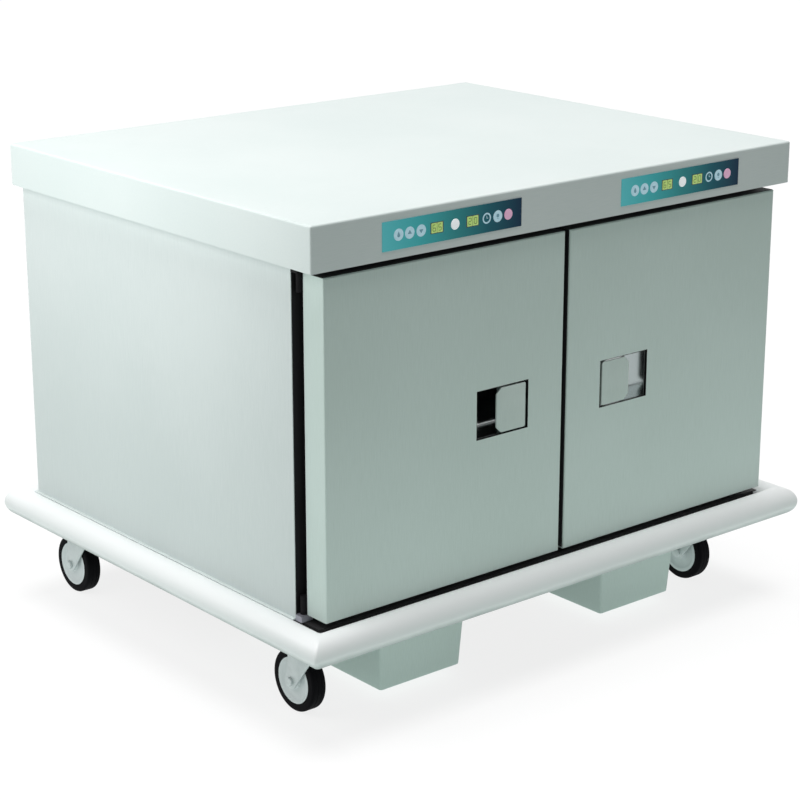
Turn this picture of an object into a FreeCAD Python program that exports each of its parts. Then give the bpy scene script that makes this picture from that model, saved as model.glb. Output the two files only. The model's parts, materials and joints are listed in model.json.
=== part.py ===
import FreeCAD
import Part
import Sketcher
import os
from FreeCAD import Placement, Rotation, Vector

# A mobile heated holding cabinet: an insulated body with two chambers, two hinged doors, a thick
# worktop that holds the controls, a round bumper all the way round, two heater boxes hung below
# the floor, and four swivel castors. Millimetres, floor at z = 0, front towards -Y.

sizes = {
    # overall form
    "worktop_width": 1236,
    "worktop_depth": 1000,
    "worktop_thickness": 85,
    "overall_height": 980,
    "worktop_radius": 4,
    "side_overhang": 20,
    "back_overhang": 10,
    "sheet": 1.5,
    # doors
    "door_setback": 9,
    "door_thickness": 58,
    "door_height": 643,
    "door_top_gap": 13.5,
    "door_bottom_gap": 12.5,
    "door_centre_gap": 13,
    "door_edge_inset": 13.5,
    "door_radius": 3,
    "seal_gap": 18,
    "gasket_width": 10,
    "gasket_margin": 2,
    "gasket_clearance": 0.3,
    # hinges
    "hinge_outset": 0.5,
    "hinge_pin_radius": 4,
    "hinge_fit": 0.05,
    "knuckle_radius": 7,
    "knuckle_height": 36,
    "leaf_width": 13,
    "bracket_width": 26,
    "bracket_clearance": 0.3,
    # body walls and chambers
    "mullion_width": 70,
    "side_wall": 40,
    "floor_wall": 36,
    "roof_wall": 37,
    "rear_wall": 53,
    "frame_depth": 12,
    # tray runners
    "runner_ledge": 46,
    "runner_flange": 20,
    "runner_sheet": 2,
    "runner_first": 84,
    "runner_pitch": 84,
    "runner_front_gap": 30,
    "runner_back_gap": 80,
    # chassis
    "castor_height": 160,
    "rail_width": 100,
    "rail_height": 64,
    "rail_wall": 3,
    "cross_width": 40,
    "cross_gap": 43,
    "chassis_front_inset": 20,
    "chassis_back_inset": 18,
    "pan_thickness": 2,
    "pan_side_inset": 6,
    "pan_front_inset": 22,
    "pan_back_inset": 5,
    # bumper
    "bumper_diameter": 60,
    "bumper_wall": 4,
    "bumper_offset": 25,
    "bumper_axis_height": 44,
    "stay_width": 40,
    "stay_height": 26,
    "stay_spacing": 600,
    # castors
    "castor_side_inset": 88,
    "castor_front_inset": 125,
    "castor_back_inset": 90,
    "castor_trail": 40,
    "wheel_diameter": 125,
    "wheel_width": 32,
    "tread_chamfer": 5,
    "hub_diameter": 92,
    "hub_boss_diameter": 30,
    "axle_diameter": 10,
    "axle_head_diameter": 18,
    "axle_head_height": 5,
    "axle_fit": 0.05,
    "fork_side_gap": 2.5,
    "fork_thickness": 4,
    "fork_boss_diameter": 30,
    "fork_clearance": 6,
    "crown_thickness": 5,
    "crown_front": 30,
    "crown_back": 46,
    "swivel_clearance": 0.3,
    "collar_diameter": 58,
    "race_diameter": 64,
    "race_height": 9,
    "king_pin_diameter": 16,
    "king_nut_diameter": 24,
    "king_nut_height": 9,
    "plate_length": 104,
    "plate_width": 84,
    "plate_thickness": 5,
    "bolt_spread_x": 80,
    "bolt_spread_y": 60,
    "bolt_diameter": 8,
    "bolt_fit": 0.2,
    "bolt_head_diameter": 13,
    "bolt_head_height": 5,
    # heaters and fans
    "heater_width": 201,
    "heater_depth": 430,
    "heater_flare": 12,
    "heater_setback": 2,
    "heater_ground_gap": 23,
    "heater_wall": 1.5,
    "fan_diameter": 160,
    "fan_height": 34,
    "fan_floor_gap": 8,
    "fan_plate": 3,
    "fan_hub_diameter": 32,
    "vane_inner_diameter": 96,
    "shaft_diameter": 12,
    "shaft_fit": 0.05,
    "shaft_reach": 60,
    "shaft_hole_diameter": 40,
    "motor_diameter": 96,
    "motor_length": 112,
    "motor_flange_diameter": 124,
    "motor_flange": 5,
    "element_ring_diameter": 212,
    "element_tube_diameter": 8,
    "element_height": 24,
    "element_leg_spread": 36,
    "element_leg_drop": 22,
    "element_hole_diameter": 12,
    "element_gland_diameter": 20,
    "element_gland_height": 4,
    "guard_width": 300,
    "guard_height": 56,
    "guard_hole_diameter": 16,
    "guard_slot_width": 15,
    "guard_slot_height": 28,
    "guard_inner_ring": 62,
    "guard_outer_ring": 116,
    "probe_diameter": 6,
    "probe_length": 58,
    "probe_inset": 24,
    "probe_boss_diameter": 18,
    # controls
    "keypad_width": 331,
    "keypad_height": 53,
    "keypad_film": 1,
    "display_width": 31,
    "display_height": 21,
    "first_display_offset": 39.5,
    "second_display_offset": 45.5,
    "main_button_offset": 3.5,
    "power_button_offset": 132.5,
    "button_diameter": 20,
    "button_proud": 1.6,
    "button_length": 8,
    "button_clearance": 0.3,
    "board_width": 312,
    "board_height": 44,
    "board_thickness": 1.6,
    "board_gap": 10,
    "board_post_diameter": 6,
    "board_post_inset": 6,
    "switch_diameter": 8,
    "switch_height": 2.9,
    "relay_width": 160,
    "relay_depth": 110,
    "relay_height": 55,
    "relay_x": 300,
    "relay_back_gap": 90,
    "inlet_x": 470,
    "inlet_width": 46,
    "inlet_height": 30,
    "inlet_depth": 28,
    "inlet_lip": 8,
    "inlet_flange": 3,
    "inlet_wall": 5,
    "inlet_blade_width": 6,
    "inlet_blade_thickness": 2,
    "inlet_blade_pitch": 11,
    # flush handles
    "handle_centre": 161,
    "cup_width": 131,
    "cup_height": 96,
    "cup_depth": 36,
    "cup_wall": 1.2,
    "paddle_width": 74,
    "paddle_thickness": 4,
    "paddle_side_gap": 6.5,
    "paddle_edge_gap": 2.5,
    "paddle_chamfer": 12,
    "pivot_inset": 15,
    "pivot_depth": 11,
    "pivot_pin_diameter": 6,
    "pivot_fit": 0.05,
    "barrel_diameter": 12,
    "lever_reach": 12,
    "lever_thickness": 5,
    "bar_clearance": 0.4,
    "bar_side_room": 0.8,
    "bar_thickness": 6,
    "bar_height": 14,
    "bar_overlap": 6,
    "bar_travel_room": 9,
    "nose_diameter": 10,
    "nose_inset": 8,
    "nose_standoff": 7.5,
    # screws of the rear panel
    "screw_diameter": 8,
    "screw_head": 2.5,
    "screw_inset": 20,
}

runner_levels = 6
fan_blades = 10
guard_slots = 9
inner_ring_holes = 6
outer_ring_holes = 12
screws_per_side = 4


class Size:
    """A length: its value now, and the sheet expression that keeps a piece bound to it."""

    def __init__(self, value, text):
        self.value = value
        self.text = text

    def __add__(self, other):
        other = as_size(other)
        return Size(self.value + other.value, f"({self.text} + {other.text})")

    def __sub__(self, other):
        other = as_size(other)
        return Size(self.value - other.value, f"({self.text} - {other.text})")

    def __mul__(self, other):
        other = as_size(other)
        return Size(self.value * other.value, f"({self.text} * {other.text})")

    def __truediv__(self, other):
        other = as_size(other)
        return Size(self.value / other.value, f"({self.text} / {other.text})")

    def __neg__(self):
        return self * -1

    __radd__ = __add__
    __rmul__ = __mul__

    def __rsub__(self, other):
        return as_size(other) - self


def as_size(term):
    return term if isinstance(term, Size) else Size(float(term), f"({float(term)!r})")


class Dims:
    """The sheet's sizes by name."""


doc = FreeCAD.newDocument("holding_cabinet")
sheet = doc.addObject("Spreadsheet::Sheet", "dims")
dims = Dims()
for row, (alias, value) in enumerate(sizes.items(), 1):
    sheet.set(f"A{row}", alias)
    sheet.set(f"B{row}", str(value))
    sheet.setAlias(f"B{row}", alias)
    setattr(dims, alias, Size(float(value), f"dims.{alias}"))
doc.recompute()

nodes = []


def node(piece, label):
    piece.Label = label
    nodes.append(piece)
    return piece


# Plain solids and how they are joined

turns = {
    "x": Rotation(Vector(0, 1, 0), 90),
    "y": Rotation(Vector(1, 0, 0), -90),
    "z": Rotation(),
}


def bind(thing, path, length):
    thing.setExpression(path, as_size(length).text)


def place(thing, x, y, z):
    for axis, length in zip("xyz", (x, y, z)):
        bind(thing, f"Placement.Base.{axis}", length)


def block(name, x, y, z):
    """A box between two corners, each span given as (low, high)."""
    box = doc.addObject("Part::Box", name)
    for side, (low, high) in zip(("Length", "Width", "Height"), (x, y, z)):
        bind(box, side, as_size(high) - low)
    place(box, x[0], y[0], z[0])
    return box


def rod(name, axis, start, radius, length):
    """A cylinder that starts at a point and runs along +X, +Y or +Z."""
    cylinder = doc.addObject("Part::Cylinder", name)
    cylinder.Placement = Placement(Vector(), turns[axis])
    bind(cylinder, "Radius", radius)
    bind(cylinder, "Height", length)
    place(cylinder, *start)
    return cylinder


def join(name, *pieces):
    fused = doc.addObject("Part::MultiFuse", name)
    fused.Shapes = list(pieces)
    return fused


def cut(name, base, *tools):
    result = doc.addObject("Part::Cut", name)
    result.Base = base
    result.Tool = tools[0] if len(tools) == 1 else join(name + "_tools", *tools)
    return result


def overlap(name, *pieces):
    shared = doc.addObject("Part::MultiCommon", name)
    shared.Shapes = list(pieces)
    return shared


def group(name, *pieces):
    compound = doc.addObject("Part::Compound", name)
    compound.Links = list(pieces)
    return compound


def about(centre, width):
    return (centre - width / 2, centre + width / 2)


def sided(side, near, far):
    """A span measured from the middle plane, on the right (+1) or on the left (-1)."""
    return (near, far) if side > 0 else (-far, -near)


# Sketched solids

def new_body(name):
    return doc.addObject("PartDesign::Body", name)


def sketch_on(body, role, name, offset=0):
    sketch = body.newObject("Sketcher::SketchObject", name)
    plane = next(item for item in body.Origin.OriginFeatures if item.Role == role)
    sketch.AttachmentSupport = [(plane, "")]
    sketch.MapMode = "FlatFace"
    bind(sketch, "AttachmentOffset.Base.z", offset)
    return sketch


def pin_point(sketch, item, end, x, y):
    """Hold a sketch point by its two distances from the sketch's origin."""
    for kind, length in (("DistanceX", as_size(x)), ("DistanceY", as_size(y))):
        number = sketch.addConstraint(Sketcher.Constraint(kind, -1, 1, item, end, length.value))
        sketch.setExpression(f"Constraints[{number}]", length.text)


def outline(sketch, corners):
    """A closed run of straight edges through the corners."""
    corners = [(as_size(x), as_size(y)) for x, y in corners]
    points = [Vector(x.value, y.value, 0) for x, y in corners]
    first = sketch.GeometryCount
    count = len(corners)
    for index in range(count):
        sketch.addGeometry(Part.LineSegment(points[index], points[(index + 1) % count]))
    for index in range(count):
        following = first + (index + 1) % count
        sketch.addConstraint(Sketcher.Constraint("Coincident", first + index, 2, following, 1))
    for index, (x, y) in enumerate(corners):
        pin_point(sketch, first + index, 1, x, y)


def rectangle(sketch, x, y):
    outline(sketch, ((x[0], y[0]), (x[1], y[0]), (x[1], y[1]), (x[0], y[1])))


def circle(sketch, x, y, radius):
    x, y, radius = as_size(x), as_size(y), as_size(radius)
    item = sketch.addGeometry(Part.Circle(Vector(x.value, y.value, 0), Vector(0, 0, 1), radius.value))
    pin_point(sketch, item, 3, x, y)
    number = sketch.addConstraint(Sketcher.Constraint("Radius", item, radius.value))
    sketch.setExpression(f"Constraints[{number}]", radius.text)


def feature(body, kind, sketch, length, backwards):
    item = body.newObject("PartDesign::" + kind, f"{sketch.Name}_{kind.lower()}")
    item.Profile = sketch
    item.Reversed = backwards
    bind(item, "Length", length)
    doc.recompute()
    return item


def pad(body, sketch, length, backwards=False):
    return feature(body, "Pad", sketch, length, backwards)


def pocket(body, sketch, length, backwards=False):
    before = body.Shape.Volume
    item = feature(body, "Pocket", sketch, length, backwards)
    if not body.Shape.Volume < before:
        raise RuntimeError(f"{sketch.Name} cuts nothing")
    return item


def revolve(body, sketch, axis):
    item = body.newObject("PartDesign::Revolution", sketch.Name + "_turned")
    item.Profile = sketch
    item.ReferenceAxis = (sketch, [axis])
    item.Angle = 360
    doc.recompute()
    return item


def ring_of(body, original, count):
    """Copies of a feature spaced evenly round the body's own Z axis."""
    pattern = body.newObject("PartDesign::PolarPattern", original.Name + "_ring")
    pattern.Originals = [original]
    axis = next(item for item in body.Origin.OriginFeatures if item.Role == "Z_Axis")
    pattern.Axis = (axis, [""])
    pattern.Angle = 360
    pattern.Occurrences = count
    body.Tip = pattern
    doc.recompute()


def round_edges(body, base, wanted, radius):
    """Round each straight edge of a feature whose box passes a test."""
    names = [f"Edge{i}" for i, edge in enumerate(base.Shape.Edges, 1) if wanted(edge.BoundBox)]
    item = body.newObject("PartDesign::Fillet", base.Name + "_rounded")
    item.Base = (base, names)
    bind(item, "Radius", radius)
    doc.recompute()


# Main planes, all worked out from the sheet

half_width = dims.worktop_width / 2
front = -dims.worktop_depth / 2
back = dims.worktop_depth / 2
slab_bottom = dims.overall_height - dims.worktop_thickness
body_half = half_width - dims.side_overhang
body_back = back - dims.back_overhang
door_front = front + dims.door_setback
door_back = door_front + dims.door_thickness
body_front = door_back + dims.seal_gap
door_top = slab_bottom - dims.door_top_gap
door_bottom = door_top - dims.door_height
door_inner = dims.door_centre_gap / 2
door_outer = body_half - dims.door_edge_inset
door_middle = (door_inner + door_outer) / 2
body_bottom = door_bottom - dims.door_bottom_gap
pan_bottom = body_bottom - dims.pan_thickness
rail_bottom = pan_bottom - dims.rail_height
ground = rail_bottom - dims.castor_height

chamber_near = dims.mullion_width / 2
chamber_far = body_half - dims.side_wall
chamber_floor = body_bottom + dims.floor_wall
chamber_roof = slab_bottom - dims.roof_wall
chamber_back = body_back - dims.rear_wall
frame_back = body_front + dims.frame_depth

castor_x = half_width - dims.castor_side_inset
castor_rows = {"front": front + dims.castor_front_inset, "rear": back - dims.castor_back_inset}
chassis_front = front + dims.chassis_front_inset
chassis_back = back - dims.chassis_back_inset
rail_inner = castor_x - dims.rail_width / 2
rail_outer = castor_x + dims.rail_width / 2
rail_span = (rail_bottom, pan_bottom)

heater_front = body_front + dims.heater_setback
heater_back = heater_front + dims.heater_depth
fan_y = (heater_front + heater_back) / 2
fan_base = chamber_floor + dims.fan_floor_gap

control_z = slab_bottom + dims.worktop_thickness / 2
fascia_back = front + dims.sheet
board_front = fascia_back + dims.board_gap

ring_x = body_half + dims.bumper_offset
ring_y = body_back + dims.bumper_offset
ring_z = rail_bottom + dims.bumper_axis_height
hands = (("left", -1), ("right", 1))


# Chassis, floor pan and bumper

def castor_bolts(name, radius, low, high):
    """One upright rod for each castor bolt."""
    rods = []
    for row, y in castor_rows.items():
        for hand, side in hands:
            for corner in range(4):
                dx = dims.bolt_spread_x / 2 * (1 if corner % 2 else -1)
                dy = dims.bolt_spread_y / 2 * (1 if corner // 2 else -1)
                start = (castor_x * side + dx, y + dy, low)
                rods.append(rod(f"{name}_{row}_{hand}_{corner}", "z", start, radius, high - low))
    return rods


def chassis():
    members = []
    wall = dims.rail_wall
    inside = (rail_span[0] + wall, rail_span[1] - wall)
    for hand, side in hands:
        outer = block(f"rail_{hand}", sided(side, rail_inner, rail_outer),
                      (chassis_front, chassis_back), rail_span)
        hollow = block(f"rail_hollow_{hand}", sided(side, rail_inner + wall, rail_outer - wall),
                       (chassis_front, chassis_back), inside)
        drilled = castor_bolts(f"drill_{hand}", dims.bolt_diameter / 2 + dims.bolt_fit,
                               rail_bottom, rail_bottom + 2 * wall)
        members.append(cut(f"rail_tube_{hand}", outer, hollow, *drilled))
    across = (-rail_inner, rail_inner)
    mid_front = heater_back + dims.cross_gap
    spans = {
        "front": (chassis_front, chassis_front + dims.cross_width),
        "middle": (mid_front, mid_front + dims.cross_width),
        "rear": (chassis_back - dims.cross_width, chassis_back),
    }
    for name, (low, high) in spans.items():
        outer = block(f"cross_{name}", across, (low, high), rail_span)
        hollow = block(f"cross_hollow_{name}", across, (low + wall, high - wall), inside)
        members.append(cut(f"cross_tube_{name}", outer, hollow))
    node(group("chassis", *members), "chassis_frame")


def floor_holes(name, low, high):
    """The fan shafts and the heating elements' legs pass up through the floor."""
    holes = []
    for hand, side in hands:
        x = door_middle * side
        holes.append(rod(f"{name}_shaft_{hand}", "z", (x, fan_y, low),
                         dims.shaft_hole_diameter / 2, high - low))
        for leg in (-1, 1):
            start = (x + dims.element_leg_spread / 2 * leg, element_leg_y, low)
            holes.append(rod(f"{name}_leg_{hand}_{leg + 1}", "z", start,
                             dims.element_hole_diameter / 2, high - low))
    return holes


def floor_pan():
    half = body_half - dims.pan_side_inset
    plate = block("pan_plate", (-half, half),
                  (front + dims.pan_front_inset, body_back - dims.pan_back_inset),
                  (pan_bottom, body_bottom))
    node(cut("pan", plate, *floor_holes("pan_hole", pan_bottom, body_bottom)), "base_pan")


def bumper():
    """Four tubes round the cabinet, each cut at half a right angle where it meets the next."""
    outer = dims.bumper_diameter / 2
    walls = (("skin", outer), ("bore", outer - dims.bumper_wall))
    sides = (("front", "x", -1, ring_x, ring_y), ("right", "y", 1, ring_y, ring_x),
             ("rear", "x", 1, ring_x, ring_y), ("left", "y", -1, ring_y, ring_x))
    pieces = []
    for quarter, (name, axis, sign, along, across) in enumerate(sides):
        reach = along + outer
        line = (-reach, across * sign) if axis == "x" else (across * sign, -reach)
        rods = [rod(f"bumper_{wall}_{name}", axis, (*line, ring_z), radius, 2 * reach)
                for wall, radius in walls]
        tube = cut(f"bumper_tube_{name}", *rods)
        mitre = doc.addObject("Part::Wedge", f"bumper_mitre_{name}")
        mitre.Placement = Placement(Vector(), Rotation(Vector(0, 0, 1), 90 * quarter))
        upright = about(ring_z, dims.bumper_diameter)
        spans = {"X": (-reach, reach), "X2": (outer - along, along - outer),
                 "Y": (-across - outer, outer - across), "Z": upright, "Z2": upright}
        for letter, (low, high) in spans.items():
            bind(mitre, letter + "min", low)
            bind(mitre, letter + "max", high)
        pieces.append(overlap(f"bumper_{name}", tube, mitre))
    node(group("bumper", *pieces), "bumper_ring")


def bumper_stays():
    """Short stays from the chassis tubes, hollowed to seat the bumper tube."""
    outer = dims.bumper_diameter / 2
    z = about(ring_z, dims.stay_height)
    stays = []
    for sign in (-1, 1):
        along = about(dims.stay_spacing / 2 * sign, dims.stay_width)
        for hand, side in hands:
            stay = block(f"stay_{hand}_{sign + 1}", sided(side, rail_outer, ring_x), along, z)
            seat = rod(f"stay_seat_{hand}_{sign + 1}", "y",
                       (ring_x * side, along[0], ring_z), outer, dims.stay_width)
            stays.append(cut(f"side_stay_{hand}_{sign + 1}", stay, seat))
        for end, name, face in ((-1, "front", chassis_front), (1, "rear", chassis_back)):
            span = (-ring_y, face) if end < 0 else (face, ring_y)
            stay = block(f"stay_{name}_{sign + 1}", along, span, z)
            seat = rod(f"stay_seat_{name}_{sign + 1}", "x",
                       (along[0], ring_y * end, ring_z), outer, dims.stay_width)
            stays.append(cut(f"end_stay_{name}_{sign + 1}", stay, seat))
    node(group("stays", *stays), "bumper_brackets")


# Insulated body

def body_panels():
    inside = body_half - dims.sheet
    upright = (body_bottom, slab_bottom)
    for hand, side in hands:
        panel = block(f"side_{hand}", sided(side, inside, body_half), (body_front, body_back), upright)
        node(panel, f"{hand}_side_panel")
    node(block("rear", (-inside, inside), (body_back - dims.sheet, body_back), upright), "rear_panel")

    face = block("frame_face", (-inside, inside), (body_front, frame_back), upright)
    mouths = [block(f"frame_mouth_{hand}", sided(side, chamber_near, chamber_far),
                    (body_front, frame_back), (chamber_floor, chamber_roof)) for hand, side in hands]
    node(cut("frame", face, *mouths), "front_frame")


def chamber_liners():
    sheet_wall = dims.sheet
    for hand, side in hands:
        shell = block(f"liner_shell_{hand}", sided(side, chamber_near - sheet_wall, chamber_far + sheet_wall),
                      (frame_back, chamber_back + sheet_wall),
                      (chamber_floor - sheet_wall, chamber_roof + sheet_wall))
        room = block(f"liner_room_{hand}", sided(side, chamber_near, chamber_far),
                     (frame_back, chamber_back), (chamber_floor, chamber_roof))
        holes = floor_holes(f"liner_hole_{hand}", chamber_floor - sheet_wall, chamber_floor)
        node(cut(f"liner_{hand}", shell, room, *holes), f"{hand}_chamber_liner")


def insulation():
    skin = body_half - dims.sheet
    rear_skin = body_back - dims.sheet
    low = chamber_floor - dims.sheet
    high = chamber_roof + dims.sheet
    deep = (frame_back, rear_skin)
    liner_back = chamber_back + dims.sheet
    liner_side = chamber_far + dims.sheet
    liner_mid = chamber_near - dims.sheet
    floor_slab = block("floor_slab", (-skin, skin), deep, (body_bottom, low))
    slabs = [
        cut("floor_wool", floor_slab, *floor_holes("wool_hole", body_bottom, low)),
        block("roof_wool", (-skin, skin), deep, (high, slab_bottom)),
        block("rear_wool", (-liner_side, liner_side), (liner_back, rear_skin), (low, high)),
        block("mid_wool", (-liner_mid, liner_mid), (frame_back, liner_back), (low, high)),
    ]
    for hand, side in hands:
        slabs.append(block(f"side_wool_{hand}", sided(side, liner_side, skin), deep, (low, high)))
    node(group("wool", *slabs), "body_insulation")


def tray_runners():
    """Angle runners in pairs, flange to the wall and ledge to the middle."""
    runners = []
    low = frame_back + dims.runner_front_gap
    length = chamber_back - dims.runner_back_gap - low
    thick = dims.runner_sheet
    for hand, side in hands:
        for wall, inward in ((chamber_near, 1), (chamber_far, -1)):
            for level in range(runner_levels):
                z = chamber_floor + dims.runner_first + dims.runner_pitch * level
                name = f"runner_{hand}_{'near' if inward > 0 else 'far'}_{level}"
                angle = new_body(name)
                profile = sketch_on(angle, "XZ_Plane", name + "_profile", -low)
                tip = wall + dims.runner_ledge * inward
                web = wall + thick * inward
                outline(profile, [(x * side, y) for x, y in (
                    (wall, z), (tip, z), (tip, z + thick), (web, z + thick),
                    (web, z + dims.runner_flange), (wall, z + dims.runner_flange))])
                pad(angle, profile, length, backwards=True)
                runners.append(angle)
    node(group("runners", *runners), "tray_runners")


def temperature_probes():
    """A rod on a boss on each chamber's back wall, high up and out of the trays' way."""
    probes = []
    radius = dims.probe_diameter / 2
    boss = dims.probe_boss_diameter / 2
    for hand, side in hands:
        x = (chamber_far - dims.probe_inset) * side
        z = chamber_roof - dims.probe_inset
        tip = chamber_back - dims.probe_length
        probes.append(join(
            f"probe_{hand}",
            rod(f"probe_rod_{hand}", "y", (x, tip, z), radius, dims.probe_length),
            rod(f"probe_boss_{hand}", "y", (x, chamber_back - radius, z), boss, radius)))
    node(group("probes", *probes), "temperature_probes")


# Worktop and controls

def keypad_places():
    """Each keypad's middle, then where its displays and its two buttons sit."""
    for hand, side in hands:
        middle = door_middle * side
        displays = (middle - dims.first_display_offset, middle + dims.second_display_offset)
        buttons = {"main": middle + dims.main_button_offset, "power": middle + dims.power_button_offset}
        yield hand, middle, displays, buttons


def worktop():
    shell = new_body("worktop_shell")
    plan = sketch_on(shell, "XY_Plane", "worktop_plan", slab_bottom)
    rectangle(plan, (-half_width, half_width), (front, back))
    slab = pad(shell, plan, dims.worktop_thickness)
    top = slab.Shape.BoundBox.ZMax
    low = slab.Shape.BoundBox.ZMin
    round_edges(shell, slab, lambda box: box.ZMin > top - 1 or box.ZMax - box.ZMin > (top - low) / 2,
                dims.worktop_radius)
    hollow = sketch_on(shell, "XY_Plane", "worktop_hollow", slab_bottom)
    inset = dims.sheet
    rectangle(hollow, (inset - half_width, half_width - inset), (front + inset, back - inset))
    pocket(shell, hollow, dims.worktop_thickness - inset, backwards=True)

    windows = sketch_on(shell, "XZ_Plane", "fascia_windows", -front)
    for hand, middle, displays, buttons in keypad_places():
        for x in displays:
            rectangle(windows, about(x, dims.display_width), about(control_z, dims.display_height))
        for x in buttons.values():
            circle(windows, x, control_z, dims.button_diameter / 2 + dims.button_clearance)
    pocket(shell, windows, 2 * inset)

    inlet_hole = sketch_on(shell, "XZ_Plane", "inlet_hole", -back)
    rectangle(inlet_hole, about(dims.inlet_x, dims.inlet_width), about(control_z, dims.inlet_height))
    pocket(shell, inlet_hole, 2 * inset, backwards=True)
    node(shell, "worktop")

    inside = half_width - inset
    node(block("underside", (-inside, inside), (front + inset, back - inset),
               (slab_bottom, slab_bottom + inset)), "worktop_underside")


def keypads():
    films = []
    screens = []
    for hand, middle, displays, buttons in keypad_places():
        film = new_body(f"film_{hand}")
        face = sketch_on(film, "XZ_Plane", f"film_face_{hand}", -front)
        rectangle(face, about(middle, dims.keypad_width), about(control_z, dims.keypad_height))
        for x in displays:
            rectangle(face, about(x, dims.display_width), about(control_z, dims.display_height))
        for x in buttons.values():
            circle(face, x, control_z, dims.button_diameter / 2 + dims.button_clearance)
        pad(film, face, dims.keypad_film)
        films.append(film)
        for number, x in enumerate(displays):
            screens.append(block(f"screen_{hand}_{number}", about(x, dims.display_width),
                                 (front - dims.keypad_film, board_front),
                                 about(control_z, dims.display_height)))
        for name, x in buttons.items():
            start = (x, front - dims.keypad_film - dims.button_proud, control_z)
            node(rod(f"{hand}_{name}_cap", "y", start, dims.button_diameter / 2, dims.button_length),
                 f"{hand}_{name}_button")
    node(group("films", *films), "keypad_films")
    node(group("screens", *screens), "display_modules")


def control_boards():
    """A board on posts behind each keypad, with a switch for each button, and a relay box."""
    boards = []
    post = dims.board_post_diameter / 2
    for hand, middle, displays, buttons in keypad_places():
        parts = [block(f"board_plate_{hand}", about(middle, dims.board_width),
                       (board_front, board_front + dims.board_thickness),
                       about(control_z, dims.board_height))]
        for corner in range(4):
            x = middle + (dims.board_width / 2 - dims.board_post_inset) * (1 if corner % 2 else -1)
            z = control_z + (dims.board_height / 2 - dims.board_post_inset) * (1 if corner // 2 else -1)
            parts.append(rod(f"post_{hand}_{corner}", "y", (x, fascia_back, z), post, dims.board_gap))
        for name, x in buttons.items():
            start = (x, board_front - dims.switch_height, control_z)
            parts.append(rod(f"switch_{hand}_{name}", "y", start, dims.switch_diameter / 2,
                             dims.switch_height))
        boards.append(join(f"board_{hand}", *parts))
    relay_front = back - dims.relay_back_gap - dims.relay_depth
    base = slab_bottom + dims.sheet
    boards.append(block("relay_box", about(dims.relay_x, dims.relay_width),
                        (relay_front, relay_front + dims.relay_depth), (base, base + dims.relay_height)))
    node(group("boards", *boards), "control_boards")


def mains_inlet():
    """A flanged appliance inlet with three blades, in the back of the worktop."""
    x = dims.inlet_x
    wall = dims.inlet_wall
    inner_end = back - dims.inlet_depth
    body = block("inlet_body", about(x, dims.inlet_width), (inner_end, back),
                 about(control_z, dims.inlet_height))
    flange = block("inlet_plate", about(x, dims.inlet_width + 2 * dims.inlet_lip),
                   (back, back + dims.inlet_flange), about(control_z, dims.inlet_height + 2 * dims.inlet_lip))
    recess = block("inlet_recess", about(x, dims.inlet_width - 2 * wall),
                   (inner_end + wall, back + dims.inlet_flange),
                   about(control_z, dims.inlet_height - 2 * wall))
    blades = [block(f"inlet_blade_{place_no}",
                    about(x + dims.inlet_blade_pitch * place_no, dims.inlet_blade_thickness),
                    (inner_end + wall, back - wall), about(control_z, dims.inlet_blade_width))
              for place_no in (-1, 0, 1)]
    housing = cut("inlet_housing", join("inlet_outer", body, flange), recess)
    node(join("inlet", housing, *blades), "mains_inlet")


# Heater boxes, fans and elements

element_leg_y = fan_y + dims.element_ring_diameter / 2


def tub_rims(tub, name, x, inset, base):
    """The bottom and top outlines of a tapered tub, set in by a wall's thickness."""
    sections = []
    for number, (z, spread) in enumerate(((base, 0), (pan_bottom, dims.heater_flare))):
        section = sketch_on(tub, "XY_Plane", f"{name}_{number}", z)
        reach = dims.heater_width / 2 + spread - inset
        rectangle(section, (x - reach, x + reach),
                  (heater_front - spread + inset, heater_back + spread - inset))
        sections.append(section)
    return sections


def loft(tub, kind, name, sections):
    item = tub.newObject("PartDesign::" + kind, name)
    item.Profile = sections[0]
    item.Sections = sections[1:]
    doc.recompute()


def heater_boxes():
    """Tapered tubs hung under the floor pan, open at the top."""
    tubs = []
    base = ground + dims.heater_ground_gap
    wall = dims.heater_wall
    for hand, side in hands:
        tub = new_body(f"tub_{hand}")
        x = door_middle * side
        loft(tub, "AdditiveLoft", f"tub_form_{hand}", tub_rims(tub, f"tub_outer_{hand}", x, 0, base))
        loft(tub, "SubtractiveLoft", f"tub_hollow_{hand}",
             tub_rims(tub, f"tub_inner_{hand}", x, wall, base + wall))
        tubs.append(tub)
    node(group("tubs", *tubs), "heater_boxes")


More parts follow.
